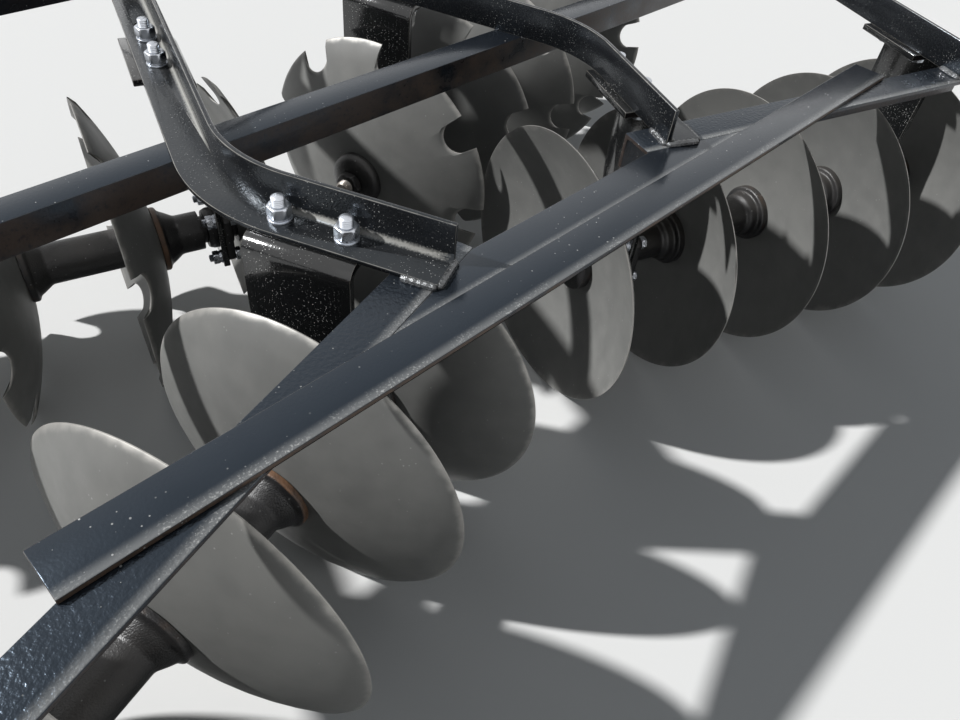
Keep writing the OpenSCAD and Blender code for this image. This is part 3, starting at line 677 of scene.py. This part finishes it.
def directed(thing: bpy.types.Object, columns: Sequence[np.ndarray]) -> None:
    """Sets an object's matrix from its three axes and, as a fourth column, its place."""
    matrix = Matrix.Identity(4)
    for column, axis in enumerate(columns):
        for line in range(3):
            matrix[line][column] = float(axis[line])
    thing.matrix_world = matrix


def span(node: str) -> Line:
    """The lowest and the highest corner of a frame node."""
    low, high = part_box(node)
    return np.array(low, float), np.array(high, float)


def piece(name: str, shell: Shell, finish: Finish, body: str, nodes: Sequence[str] = (),
          sharp: float = 34.0) -> None:
    """Turns a shell into a finished object that rides on a body.

    Args:
        name: the piece's name.
        shell: its closed surface.
        finish: what it is covered with.
        body: the moving or fixed body it belongs to.
        nodes: the frame's nodes that it stands for.
        sharp: the angle in degrees above which an edge stays sharp.
    """
    mesh = bpy.data.meshes.new(name)
    mesh.from_pydata(shell.points, [], shell.quads.tolist() + [cap.tolist() for cap in shell.caps])
    for label, values in (("shade", shell.shade), ("wear", shell.wear)):
        mesh.attributes.new(label, "FLOAT", "POINT").data.foreach_set("value", values.astype(np.float32))
    knit = bmesh.new()
    knit.from_mesh(mesh)
    bmesh.ops.remove_doubles(knit, verts=knit.verts, dist=KNIT_GAP)
    knit.to_mesh(mesh)
    knit.free()
    finished(name, mesh, finish, body, nodes, sharp)


def finished(name: str, mesh: bpy.types.Mesh, finish: Finish, body: str, nodes: Sequence[str],
             sharp: float) -> None:
    """Shades a mesh, gives it its finish and sets it on its body; the arguments are piece()'s."""
    mesh.shade_smooth()
    mesh.set_sharp_from_angle(angle=math.radians(sharp))
    mesh.materials.clear()
    mesh.materials.append(finish.made())
    thing = placed(name, mesh)
    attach(thing, body)
    if nodes:
        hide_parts(*nodes)
    LOG.info("%s: %d faces on %s", name, len(mesh.polygons), body)


def rolled(node: str, finish: Finish, edge: float, root: float = 0.0) -> None:
    """Makes a merged copy of a fixed node with its outer edges eased and its inner roots filled.

    The float attributes root and edge mark both for the finish.

    Args:
        node: the node that is copied and stood for.
        finish: what it is covered with.
        edge: how far an outer edge is cut back.
        root: how far an inner corner is filled; 0 leaves it.
    """
    work = bmesh.new()
    work.from_mesh(frame["nodes"][node].data)
    bmesh.ops.remove_doubles(work, verts=work.verts, dist=MERGE_GAP)
    bmesh.ops.dissolve_limit(work, angle_limit=FLAT_ANGLE, verts=work.verts, edges=work.edges)
    for mark, concave, width in (("root", True, root), ("edge", False, edge)):
        if width <= 0:
            continue
        layer = work.verts.layers.float.new(mark)
        chosen = [e for e in work.edges if len(e.link_faces) == 2 and e.calc_face_angle(0) > CORNER_ANGLE
                  and (e.calc_face_angle_signed(0) < 0) == concave
                  and (not concave or e.calc_length() > 4 * width)]
        made = bmesh.ops.bevel(work, geom=chosen, offset=width, segments=2, profile=0.5, affect="EDGES",
                               clamp_overlap=False)
        fresh = set(made["faces"])
        for corner in work.verts:
            if all(face in fresh for face in corner.link_faces):
                corner[layer] = 1.0
    mesh = bpy.data.meshes.new(f"{node}.eased")
    work.to_mesh(mesh)
    work.free()
    finished(f"{node}.eased", mesh, finish, "frame", [node], 30.0)


@dataclass(frozen=True)
class Dish:
    """The dished sheet of a disc, whose rim on the hollow side lies in the plane 0."""

    radius: float = 0.2286
    sheet: float = 0.0045
    sphere: float = 0.465

    @property
    def depth(self) -> float:
        """How deep the hollow is in the middle."""
        return self.sphere - math.sqrt(self.sphere ** 2 - self.radius ** 2)

    def hollow(self, radius: np.ndarray) -> np.ndarray:
        """Height of the hollow side at a radius: depth - R + root(R^2 - r^2)."""
        return self.depth - self.sphere + np.sqrt(self.sphere ** 2 - radius ** 2)

    def bulge(self, radius: np.ndarray) -> np.ndarray:
        """Height of the bulging side at a radius: depth - R + root((R + t)^2 - r^2)."""
        return self.depth - self.sphere + np.sqrt((self.sphere + self.sheet) ** 2 - radius ** 2)


@dataclass
class Gang:
    """One axle with its discs, spools, washer and bumper."""

    row: Row
    side: Side
    dish: Dish = Dish()
    discs: int = 5
    spacing: float = 0.194
    axle: float = 0.014
    journal: float = 0.022
    bearing_half: float = 0.02
    shoulder_room: float = 0.007
    rear_bearings: tuple[float, float] = (0.14196, 0.74974)
    front_bearings: tuple[float, float] = (0.03664, 0.61931)
    rear_turn: float = -8.0
    front_turn: float = 3.0
    notches: int = 8
    notch: float = 0.031
    notch_depth_center: float = 0.011
    first_notch: float = 12.0
    notch_shift: float = 17.0
    edge_bevel: float = 0.009
    edge_sheet: float = 0.0017
    edge_ease: float = 0.0006
    edge_rise: tuple[float, float] = (0.0004, 0.0005)
    rod_ends: tuple[float, float] = (0.0045, 0.053)
    rod_tip: float = 0.011
    rod_chamfer: float = 0.0015
    threads: int = 6
    thread_pitch: float = 0.0028
    thread_root: float = 0.0126
    play: float = 0.001
    cap_play: float = 0.0008
    cap_seat: float = 0.046
    washer_radius: float = 0.0475
    washer_back: float = 0.018
    washer_front: float = 0.003
    bumper_height: float = 0.021
    bumper_nut_flats: float = 0.0425
    bumper_nut_height: float = 0.015
    collar: float = 0.051
    barrel: float = 0.0312
    flange: float = 0.0495
    seat: float = 0.048
    nut_flats: float = 0.043
    nut_height: float = 0.022

    @property
    def name(self) -> str:
        """The gang's name, such as rear_left."""
        return f"{self.row.value}_{self.side.value}"

    @property
    def body(self) -> str:
        """The body that turns with this axle."""
        return f"gang_{self.name}"

    @property
    def length(self) -> float:
        """Distance between the rims of the first and the last disc."""
        return (self.discs - 1) * self.spacing

    @property
    def outward(self) -> Place:
        """Frame at the rim of the inmost disc, with its long direction outward."""
        joint = next(j for j in frame["joints"] if j["child"] == self.body)
        along = np.array(joint["axis"], float)
        along /= np.linalg.norm(along)
        ahead = np.cross(UP, along)
        return Place(np.array(joint["pos_m"], float), along, UP, ahead * np.sign(ahead[1]))

    @property
    def axis(self) -> Place:
        """Frame on the axle with its long direction toward the bulging side of the discs."""
        return self.outward if self.row is Row.REAR else self.outward.at(self.length).turned_over()

    @property
    def carried(self) -> list[float]:
        """Where the bearings stand, outward from the inmost rim."""
        return list(self.rear_bearings if self.row is Row.REAR else self.front_bearings)

    @property
    def bearings(self) -> list[float]:
        """The same places, measured toward the bulging side."""
        return self.carried if self.row is Row.REAR else [self.length - offset for offset in self.carried]

    def leg(self, offset: float) -> Place:
        """Frame at a bearing, turned from the axle to the leg of the angle iron above it.

        Its long direction is cos t a + sin t f and its second one is cos t f - sin t a, with a outward on the
        axle, f ahead and t the turn.
        """
        turn = math.radians(self.rear_turn if self.row is Row.REAR else self.front_turn)
        place = self.outward.at(offset)
        along = math.cos(turn) * place.along + math.sin(turn) * place.second
        return Place(place.origin, along, UP, math.cos(turn) * place.second - math.sin(turn) * place.along)

    def rim(self, number: int) -> np.ndarray:
        """The rim of a disc seen along the axle.

        A plain rim is a circle. A notched one runs round each notch circle from one crossing with the rim
        to the other, and then along the rim to the next notch.
        """
        radius, center = self.dish.radius, self.dish.radius - self.notch_depth_center
        if self.row is Row.REAR:
            return radius * unit(full_turn(176))
        cross = math.acos((radius ** 2 + center ** 2 - self.notch ** 2) / (2 * radius * center))
        swing = math.atan2(radius * math.sin(cross), radius * math.cos(cross) - center)
        notch = [center, 0] + self.notch * unit(np.linspace(-swing, swing - 2 * math.pi, 27))
        step = 2 * math.pi / self.notches
        tooth = radius * unit(np.linspace(cross, step - cross, 15)[1:-1])
        turn = np.arange(self.notches) * step + math.radians(self.first_notch + self.notch_shift * number)
        spin = np.stack([unit(turn) * [1, -1], unit(turn)[:, ::-1]], 1)
        return np.einsum("kab,nb->kna", spin, np.concatenate([notch, tooth])).reshape(-1, 2)

    def disc(self, number: int) -> Shell:
        """One disc: its hollow side out to the rim, the ground edge, and the bulging side back to the hole.

        A plan point lies at hole + f (rim - hole) with f from 0 to 1, and its height is the dish's at that
        radius. Near the rim the bulging side runs down to the thin edge over the ground bevel.
        """
        rim = self.rim(number)
        hole = (self.axle + self.play) * unit(np.arctan2(rim[:, 1], rim[:, 0]))
        ground = rim * (1 - self.edge_bevel / self.dish.radius)
        soft = rim * (1 - self.edge_ease / self.dish.radius)
        f = np.linspace(0, 1, 10)[:, None, None]
        inside, outside = hole + f * (soft - hole), hole + f[::-1] * (ground - hole)
        plans = (inside, outside, rim[None], soft[None])
        size = [np.linalg.norm(plan, axis=-1, keepdims=True) for plan in plans]
        thin = self.dish.hollow(size[2])
        rows = [
            np.concatenate([self.dish.hollow(size[0]), inside], -1),
            np.concatenate([thin + self.edge_rise[0], rim[None]], -1),
            np.concatenate([thin + self.edge_sheet, rim[None]], -1),
            np.concatenate([self.dish.hollow(size[3]) + self.edge_sheet + self.edge_rise[1], soft[None]], -1),
            np.concatenate([self.dish.bulge(size[1]), outside], -1),
        ]
        wear = np.concatenate([np.zeros(8), [0.1, 0.75, 1.0, 1.0, 0.95, 0.35], np.zeros(9)])
        local = np.concatenate(rows)
        local[..., 0] += number * self.spacing
        return grid_shell(self.axis.put(local), True, (number * 0.37) % 1, wear)

    def spool(self, number: int) -> Shell:
        """The casting between two discs.

        Its outline has a collar against the bulging side, a barrel, and a flange in the next hollow. The
        end faces follow the two dishes, and a recess takes the bearing where there is one.
        """
        start, end = number * self.spacing, (number + 1) * self.spacing
        low, high = self.dish.bulge(np.array(0.05)) + start, self.dish.hollow(np.array(self.seat)) + end
        top = start + self.dish.depth + self.dish.sheet
        outline = np.array([
            [low + 0.0008, self.collar], [top + 0.006, self.collar], [top + 0.009, 0.044],
            [top + 0.018, 0.039], [top + 0.03, self.barrel], [high - 0.034, self.barrel],
            [high - 0.028, 0.0385], [high - 0.0145, 0.04], [high - 0.0125, self.flange],
            [high - 0.0006, self.flange],
        ])
        side = eased(outline, 0.0035, False, 5)
        here = [b for b in self.bearings if top < b < end]
        if here:
            reach = self.bearing_half + self.shoulder_room
            before, after = here[0] - reach, here[0] + reach
            neck = np.array([[before - 0.001, self.barrel], [before, 0.031], [before, self.journal],
                             [after, self.journal], [after, 0.031], [after + 0.001, self.barrel]])
            side = np.concatenate([side[side[:, 0] < before - 0.001], neck, side[side[:, 0] > after + 0.001]])
        r = np.linspace(self.axle + self.play, self.seat, 4)
        first = np.stack([self.dish.bulge(r) + start, r], 1)
        last = np.stack([self.dish.hollow(r[::-1]) + end, r[::-1]], 1)
        profile = np.concatenate([first, side, last])
        rust = np.exp(-((profile[:, 1] - self.collar) / 0.0022) ** 2) * (0.55 + 0.35 * (number % 2))
        return turned(profile, self.axis, True, 72, (number * 0.29) % 1, rust)

    def rod(self) -> Shell:
        """The rod through the gang, with thread ridges at both ends and chamfers."""
        low, high = self.rod_ends[0], self.rod_ends[1] + self.length + self.dish.depth
        thread = ridges(self.threads, self.thread_pitch, self.thread_root, self.axle)
        near = thread + [low + self.rod_chamfer, 0]
        far = (thread * [-1, 1] + [high - self.rod_chamfer, 0])[::-1]
        first, last = [[low, 0.0], [low, self.rod_tip]], [[high, self.rod_tip], [high, 0.0]]
        return turned(np.concatenate([first, near, far, last]), self.axis, False, 40, 0.5)

    def caps(self) -> list[Shell]:
        """The thick washer and nut in the first hollow, and the domed bumper and nut behind the last disc."""
        depth, bore, outer = self.dish.depth, self.axle + self.cap_play, self.washer_radius
        r = np.linspace(bore, self.cap_seat, 4)
        face = np.stack([self.dish.hollow(r[::-1]), r[::-1]], 1)
        start = depth - self.washer_back
        washer = np.array([[start, bore], [start, outer], [depth - self.washer_front, outer]])
        washer = np.concatenate([eased(washer, 0.003, False, 4), face])
        top = self.length + depth + self.dish.sheet
        dome = np.array([[top - 0.0012, 0.049], [top + 0.006, 0.049], [top + 0.014, 0.0445],
                         [top + 0.0195, 0.034], [top + 0.0215, 0.0235], [top + 0.0205, bore]])
        back = np.stack([self.dish.bulge(r) + self.length, r], 1)
        dome = np.concatenate([back, eased(dome, 0.007, False, 6)])
        nut_place = self.axis.at(top + self.bumper_height + self.bumper_nut_height / 2)
        return [
            turned(washer, self.axis, True, 64, 0.2, np.where(washer[:, 1] > 0.0455, 0.45, 0.0)),
            hexagon(self.axis.at(start - self.nut_height / 2), self.nut_flats, self.nut_height, self.axle),
            turned(dome, self.axis, True, 72, 0.6),
            hexagon(nut_place, self.bumper_nut_flats, self.bumper_nut_height, self.axle),
        ]

    def build(self) -> None:
        """Makes the gang's four pieces."""
        discs = Shell.join([self.disc(k) for k in range(self.discs)])
        spools = Shell.join([self.spool(k) for k in range(self.discs - 1)])
        piece(f"disc_blades_{self.name}", discs, DISC_PAINT, self.body, [f"discs_{self.name}"], 25.0)
        for label, shell, finish, kind, node in (
            ("spool_castings", spools, CAST_PAINT, Slot.SPOOL, "spools"),
            ("axle_rod", self.rod(), BARE_STEEL, Slot.AXLE, "axle"),
            ("washer_and_bumper", Shell.join(self.caps()), CAST_PAINT, Slot.END_CAP, "end_caps"),
        ):
            piece(f"{label}_{self.name}", shell, finish, self.body, [f"{node}_{self.name}"])


def hexagon(place: Place, flats: float, height: float, bore: float = 0.0) -> Shell:
    """A hexagon nut, or a bolt head if it has no bore, centred on the frame.

    Its radius at the angle v is flats / (2 cos v'), with v' the angle from the nearest flat, and no more
    than a cone that takes the corners off at 30 degrees toward both faces.
    """
    turn = full_turn(72)
    nearest = (turn + np.pi / 6) % (np.pi / 3) - np.pi / 6
    reach = flats / 2 / np.cos(nearest)
    corner, face = flats / math.sqrt(3), 0.475 * flats
    drop = (corner - face) * math.tan(math.radians(30))
    rise = np.array([0.0, 0.0, drop * 0.5, drop])
    level = np.concatenate([rise, height - rise[::-1]]) - height / 2
    cone = np.array([face, face, (face + corner) / 2, corner])
    radius = np.minimum(reach[None], np.concatenate([cone, cone[::-1]])[:, None])
    radius[0] = radius[-1] = bore
    level = np.broadcast_to(level[:, None], radius.shape)
    local = np.stack([level, radius * np.cos(turn), radius * np.sin(turn)], -1)
    return grid_shell(place.put(local if bore else local[1:-1]), bool(bore))


def stud(place: Place, radius: float, length: float, pitch: float = 0.002) -> Shell:
    """A threaded end: ridges along its length and a rounded tip, from the frame's origin outward."""
    count = max(2, int(length / pitch))
    root = radius * 0.9
    tip = np.array([[length, root], [length + radius * 0.12, radius * 0.7], [length + radius * 0.2, 0.0]])
    foot = [[-0.002, 0.0], [-0.002, root]]
    return turned(np.concatenate([foot, ridges(count, length / count, root, radius), tip]), place, False, 32)


def washer(place: Place, outer: float, inner: float, height: float) -> Shell:
    """A flat washer that starts at the frame's origin."""
    ring = np.array([[0, inner], [0, outer], [height, outer], [height, inner]])
    return turned(eased(ring, 0.0004, True, 2), place, True, 40)


@dataclass(frozen=True)
class Bolt:
    """A bolt through plates: head and washer below, washer, spring washer, nut and thread end above."""

    thread: float = 0.0158
    flats: float = 0.0238
    head: float = 0.0095
    nut: float = 0.0135
    washer: float = 0.0023
    rise: float = 0.011
    washer_spread: float = 0.58
    spring_spread: float = 0.522

    def shells(self, place: Place, grip: float) -> list[Shell]:
        """Builds the bolt from the frame's origin, the lower face, up through the grip."""
        top = place.at(grip)
        wide, bore = self.flats * self.washer_spread, self.thread / 2
        return [
            washer(place.at(-self.washer), wide, bore, self.washer),
            hexagon(place.at(-self.washer - self.head / 2), self.flats, self.head),
            washer(top, wide, bore, self.washer),
            washer(top.at(self.washer), self.flats * self.spring_spread, bore, self.washer),
            hexagon(top.at(2 * self.washer + self.nut / 2), self.flats, self.nut, bore * 0.95),
            stud(top.at(2 * self.washer + self.nut - 0.001), bore, self.rise),
        ]


@dataclass
class Carriers:
    """Hangers, bearings and their bolts of one gang."""

    gang: Gang
    hub: float = 0.034
    hub_half: float = 0.02
    hub_play: float = 0.0003
    nipple_place: float = 0.017
    flange: float = 0.046
    flange_corner: float = 0.058
    flange_sheet: float = 0.012
    plate: float = 0.01
    bolt_place: float = 0.035
    flange_bolt: Bolt = Bolt()
    plate_bolt: Bolt = Bolt(thread=0.0125, flats=0.019, head=0.0078, nut=0.0105, washer=0.002, rise=0.006)
    bolt_reach: float = 0.038
    bolt_rows: tuple[float, float] = (-0.016, 0.064)
    under_angle: float = 0.512
    angle_sheet: float = 0.0064

    @property
    def facing(self) -> float:
        """The way the bearing flanges look along the axle: 1 is outward."""
        return 1.0 if self.gang.row is Row.REAR else -1.0

    def bearing(self, place: Place, leg: Place) -> list[Shell]:
        """A turned hub on the axle and a square flange that lies on the hanger."""
        bore = self.gang.journal + self.hub_play
        half = np.array([[1.0, bore], [1.0, self.hub - 0.004], [0.6, self.hub - 0.0006]])
        hub = np.concatenate([half * [-self.hub_half, 1], half[::-1] * [self.hub_half, 1]])
        middle = self.facing * (self.plate / 2 + self.flange_sheet / 2)
        return [
            turned(eased(hub, 0.0015, True, 3), place, True, 64),
            plate(rounded_square(self.flange, self.flange_corner), self.flange_sheet, leg.at(middle), 0.002,
                  self.hub - 0.005),
            self.grease_nipple(place.at(self.facing * self.nipple_place, self.hub - 0.001)),
        ]

    def grease_nipple(self, place: Place) -> Shell:
        """A small grease fitting on top of the hub: a hexagon foot, a neck and a ball."""
        up = Place(place.origin, place.first, place.along, place.second)
        profile = np.array([[-0.001, 0], [-0.001, 0.0038], [0.003, 0.0038], [0.004, 0.0022], [0.006, 0.002],
                            [0.0072, 0.0031], [0.0088, 0.0028], [0.0098, 0.0012], [0.0099, 0]])
        return turned(profile, up, False, 20)

    def build(self) -> None:
        """Makes the bearings, the hangers and the bolts of both."""
        gang, shells, small, large = self.gang, [], [], []
        for offset in gang.carried:
            leg = gang.leg(offset)
            shells += self.bearing(gang.outward.at(offset), leg)
            far = leg if self.facing > 0 else leg.turned_over()
            grip = self.plate + self.flange_sheet
            for first in (-self.bolt_place, self.bolt_place):
                for second in (-self.bolt_place, self.bolt_place):
                    start = far.at(self.plate / 2 + self.flange_sheet, first, second).turned_over()
                    small += self.plate_bolt.shells(start, grip)
            for v in self.bolt_rows:
                spot = leg.at(-self.facing * self.bolt_reach, 0, v).origin
                spot = np.array([spot[0], spot[1], self.under_angle - self.plate])
                upright = Place(spot, UP, ACROSS, FORWARD)
                large += self.flange_bolt.shells(upright, self.plate + self.angle_sheet)
        piece(f"bearing_hubs_{gang.name}", Shell.join(shells), CAST_PAINT, "frame",
              [f"bearings_{gang.name}"])
        piece(f"bearing_bolts_{gang.name}", Shell.join(small), ZINC, "frame")
        piece(f"hanger_bolts_{gang.name}", Shell.join(large), ZINC, "frame")
        for spot in ("inner", "outer"):
            node = f"hanger_{gang.row.value}_{spot}_{gang.side.value}"
            rolled(node, HANGER_BLACK, edge=0.0012)


@dataclass
class BarFrame:
    """The angle irons and tubes, with their weld beads."""

    bars: tuple[str, ...] = ("rear_bar", "rear_center_bar", "mid_tube", "front_tube")
    bent: tuple[str, ...] = ("inner_angle_left", "inner_angle_right", "outer_angle_left", "outer_angle_right")
    leg: float = 0.0508
    sheet: float = 0.0064
    under: float = 0.512
    gang_bar_back: float = 0.125
    gang_bar_ends: tuple[float, float] = (0.03, 0.745)
    end_bead: float = 0.042
    foot_inset: float = 0.004
    lug_inset: float = 0.002
    rear_lean: float = 25.0
    front_lean: float = 19.0
    irons: tuple[tuple[float, float, float], ...] = ((0.193, -0.134, 0.109), (0.775, -0.31, 0.049))

    def build(self) -> None:
        """Makes the bars and the bent angle irons."""
        for node in self.bars:
            rolled(node, self.bar_finish(node), edge=0.001, root=0.003)
        for side in Side:
            self.gang_bar(side)
        for node in self.bent:
            rolled(node, IRON_BLACK, edge=0.0016, root=0.008)
        beads = Shell.join([bead(start, end) for start, end in self.seams()])
        piece("weld_beads", beads, WELD, "frame")
        ends = Shell.join([bead(start, end, radius=0.005, pitch=0.0075) for start, end in self.end_seams()])
        piece("iron_end_welds", ends, WELD, "frame", ["end_gussets"])

    def bar_finish(self, node: str) -> Finish:
        """The enamel of a straight bar: the two at the rear have a strip of painted highlight and glitter
        along their rear edge.
        """
        if node in ("rear_bar", "rear_center_bar"):
            band = Band(0.0, 1.0, span(node)[0][1])
            # brown on the bar's upright faces, partly a painted reflection of brown ground
            soil_and_reflection = 0.75 if node == "rear_bar" else 0.2
            return replace(GLOSS_BLACK, name=f"gritty_{node}", band=band, sides=soil_and_reflection, peel_height=0.00015)
        return SOILED_REFLECTING_BLACK if node == "mid_tube" else GLOSS_BLACK

    def gang_bar_finish(self, side: Side) -> Finish:
        """The enamel of a rear gang's bar, pebbled and with a strip of painted highlight and glitter along
        its rear edge.
        """
        place = Gang(Row.REAR, side).outward
        ahead = place.second
        band = Band(float(ahead[0]), float(ahead[1]), float(place.origin @ ahead) - self.gang_bar_back)
        return replace(GLOSS_BLACK, name=f"gritty_gang_bar_{side.value}", band=band, sides=0.3,
                       rough=(0.26, 0.32), peel=240.0, peel_height=0.0008)

    def gang_bar(self, side: Side) -> None:
        """The angle iron over a rear gang: its section is carried along the axle's direction.

        The section is flat on top and its leg hangs from its front edge, with a fillet in the root.
        """
        node = f"rear_gang_bar_{side.value}"
        place = Gang(Row.REAR, side).outward
        top = span(node)[1][2] - place.origin[2]
        rear, front = -self.gang_bar_back, self.leg - self.gang_bar_back
        foot, under, web = top - self.leg, top - self.sheet, front - self.sheet
        section = np.array([[top, rear], [top, front], [foot, front], [foot, web],
                            [under, web], [under, rear]])
        rounding = np.array([0.0016, 0.0016, 0.0016, 0.0016, 0.005, 0.0016])[:, None]
        start, end = self.gang_bar_ends
        bar = plate(eased(section, rounding, True), end - start, place.at((start + end) / 2), 0.0012)
        piece(f"{node}.rolled", bar, self.gang_bar_finish(side), "frame", [node], 30.0)

    def seams(self) -> list[Line]:
        """Start and end of every bead where the bent irons cross the tubes, and of those at the hitch.

        An iron's heel at y has x = corner - (y - bend) tan lean, and its flange reaches further out by
        leg / cos lean, but no further than the tube.
        """
        lines = []
        rear, front = math.radians(self.rear_lean), math.radians(self.front_lean)
        for side in Side:
            flip = np.array([side.sign, 1.0, 1.0])
            for x, y, bend in self.irons:
                corner = x + (bend - y) * math.tan(rear)
                for tube in ("mid_tube", "front_tube"):
                    low, high = span(tube)
                    for edge in (low[1], high[1]) if tube == "mid_tube" else (low[1],):
                        foot = corner - (edge - CENTRING - bend) * math.tan(front)
                        far = min(foot + self.leg / math.cos(front), high[0])
                        start, end = np.array([foot, edge, self.under]), np.array([far, edge, self.under])
                        lines.append((start * flip, end * flip))
            lines += self.hitch_seams(side)
        return lines

    def end_seams(self) -> list[Line]:
        """Beads round the rear end of each bent iron: across its flange, and along its toe and its heel."""
        lines = []
        lean = math.radians(self.rear_lean)
        across = np.array([math.cos(lean), -math.sin(lean), 0.0])
        along = np.array([math.sin(lean), math.cos(lean), 0.0])
        for side in Side:
            flip = np.array([side.sign, 1.0, 1.0])
            for x, y, _ in self.irons:
                heel = np.array([x, y + CENTRING, self.under + 0.001])
                toe = heel + self.leg * across
                lines.append((heel * flip, toe * flip))
                for corner in (toe, heel):
                    lines.append((corner * flip, (corner + self.end_bead * along) * flip))
        return lines

    def hitch_seams(self, side: Side) -> list[Line]:
        """Beads at the foot of a mast bar, of its brace and of a hitch lug."""
        tube_front = span("front_tube")[1][1]
        tie_low, tie_high = span("mast_tie")
        low, high = span(f"mast_{side.value}")
        beads = [(min(abs(low[0]), abs(high[0])), low[1], high[1], self.under)]
        for foot in sorted(abs(corner[0]) for corner in span(f"mast_brace_{side.value}")):
            beads.append((foot, tie_low[1], tie_high[1], tie_high[2]))
        lines = []
        for foot, near, far, level in beads:
            start = np.array([side.sign * foot, near + self.foot_inset, level])
            lines.append((start, np.array([side.sign * foot, far - self.foot_inset, level])))
        low, high = span(f"hitch_lug_{side.value}")
        for x in (low[0], high[0]):
            start = np.array([x, tube_front, low[2] + self.lug_inset])
            lines.append((start, np.array([x, tube_front, high[2] - self.lug_inset])))
        return lines


@dataclass
class Hitch:
    """The mast, its braces, the lugs and the three pins."""

    def build(self) -> None:
        """Makes the eased bars and pins."""
        for node in ("mast_left", "mast_right", "mast_brace_left", "mast_brace_right", "mast_tie",
                     "hitch_lug_left", "hitch_lug_right"):
            rolled(node, GLOSS_BLACK, edge=0.0012)
        for node in ("hitch_pin_left", "hitch_pin_right", "top_pin"):
            rolled(node, ZINC, edge=0.0008)


@dataclass(frozen=True)
class Studio:
    """Floor, lamps, sky and the camera at the photographed angle."""

    focal_px: float = 767.1336
    yaw: float = 0.87737545
    pitch: float = 0.80340338
    roll: float = -0.13037459
    eye: tuple[float, float, float] = (-0.65818, -0.81661, 1.02817)
    image_width: int = 960
    sensor: float = 36.0
    key_travel: tuple[float, float, float] = (0.546, -0.546, -0.635)
    floor_half: float = 30.0
    floor_gap: float = 0.0005

    def camera(self) -> None:
        """Sets the camera: it looks along its yaw and pitch and is rolled about that line."""
        look = np.array([math.sin(self.yaw) * math.cos(self.pitch), math.cos(self.yaw) * math.cos(self.pitch),
                         -math.sin(self.pitch)])
        right = np.array([math.cos(self.yaw), -math.sin(self.yaw), 0.0])
        down = np.cross(look, right)
        turned_right = math.cos(self.roll) * right + math.sin(self.roll) * down
        turned_down = -math.sin(self.roll) * right + math.cos(self.roll) * down
        data = bpy.data.cameras.new("photo_angle")
        data.sensor_width = self.sensor
        data.lens = self.focal_px * self.sensor / self.image_width
        data.clip_start, data.clip_end = 0.01, 100.0
        camera = placed("photo_angle", data)
        directed(camera, (turned_right, -turned_down, -look, np.array(self.eye)))
        bpy.context.scene.camera = camera

    def floor(self) -> None:
        """Lays a plain pale floor under the object."""
        mesh = bpy.data.meshes.new("floor")
        half = self.floor_half
        corners = [(-half, -half, 0), (half, -half, 0), (half, half, 0), (-half, half, 0)]
        mesh.from_pydata(corners, [], [(0, 1, 2, 3)])
        floor = placed("floor", mesh)
        floor.location.z = CAD_BOX[0][2] - self.floor_gap
        material = bpy.data.materials.new("pale_floor")
        material.use_nodes = True
        shader = material.node_tree.nodes["Principled BSDF"]
        shader.inputs["Base Color"].default_value = (0.72, 0.72, 0.71, 1)
        shader.inputs["Roughness"].default_value = 0.9
        shader.inputs["Specular IOR Level"].default_value = 0.1
        mesh.materials.append(material)

    def lamps(self) -> None:
        """Sets a narrow key from the left of the picture and two wide, weak fills."""
        for name, travel, strength, angle in (
            ("key", self.key_travel, 4.8, 2.0),
            ("fill", (0.5, 0.7, -0.6), 0.12, 60.0),
            ("rim", (-0.3, -0.8, -0.5), 0.1, 60.0),
        ):
            data = bpy.data.lights.new(name, "SUN")
            data.energy, data.angle = strength, math.radians(angle)
            z = -np.array(travel) / np.linalg.norm(travel)
            x = np.cross(UP, z)
            x /= np.linalg.norm(x)
            directed(placed(name, data), (x, np.cross(z, x), z))

    def sky(self) -> None:
        """Gives an even sky that shows white to the camera, mirrors and glass."""
        world = bpy.data.worlds.new("studio")
        bpy.context.scene.world = world
        world.use_nodes = True
        bench = Bench(world.node_tree)
        bench.clear()
        path = bench.add("ShaderNodeLightPath")
        seen = path.outputs["Is Camera Ray"]
        for ray in ("Is Glossy Ray", "Is Transmission Ray"):
            seen = bench.number("MAXIMUM", seen, path.outputs[ray])
        plain = bench.add("ShaderNodeBackground", {"Color": (0.86, 0.93, 1.0, 1), "Strength": 0.17})
        white = bench.add("ShaderNodeBackground", {"Color": (1, 1, 1, 1), "Strength": 1.0})
        mixer = bench.add("ShaderNodeMixShader")
        output = bench.add("ShaderNodeOutputWorld")
        bench.link(seen, mixer.inputs[0])
        bench.link(plain.outputs[0], mixer.inputs[1])
        bench.link(white.outputs[0], mixer.inputs[2])
        bench.link(mixer.outputs[0], output.inputs["Surface"])

    def build(self) -> None:
        """Makes the whole studio."""
        bpy.context.scene.view_settings.view_transform = "Standard"
        self.camera()
        self.floor()
        self.lamps()
        self.sky()


def main() -> None:
    """Builds the studio and every sub-assembly."""
    logging.basicConfig(level=logging.INFO, format="%(name)s %(message)s")
    Studio().build()
    for row in Row:
        for side in Side:
            gang = Gang(row, side)
            gang.build()
            Carriers(gang).build()
    BarFrame().build()
    Hitch().build()


if __name__ == "__main__":
    main()
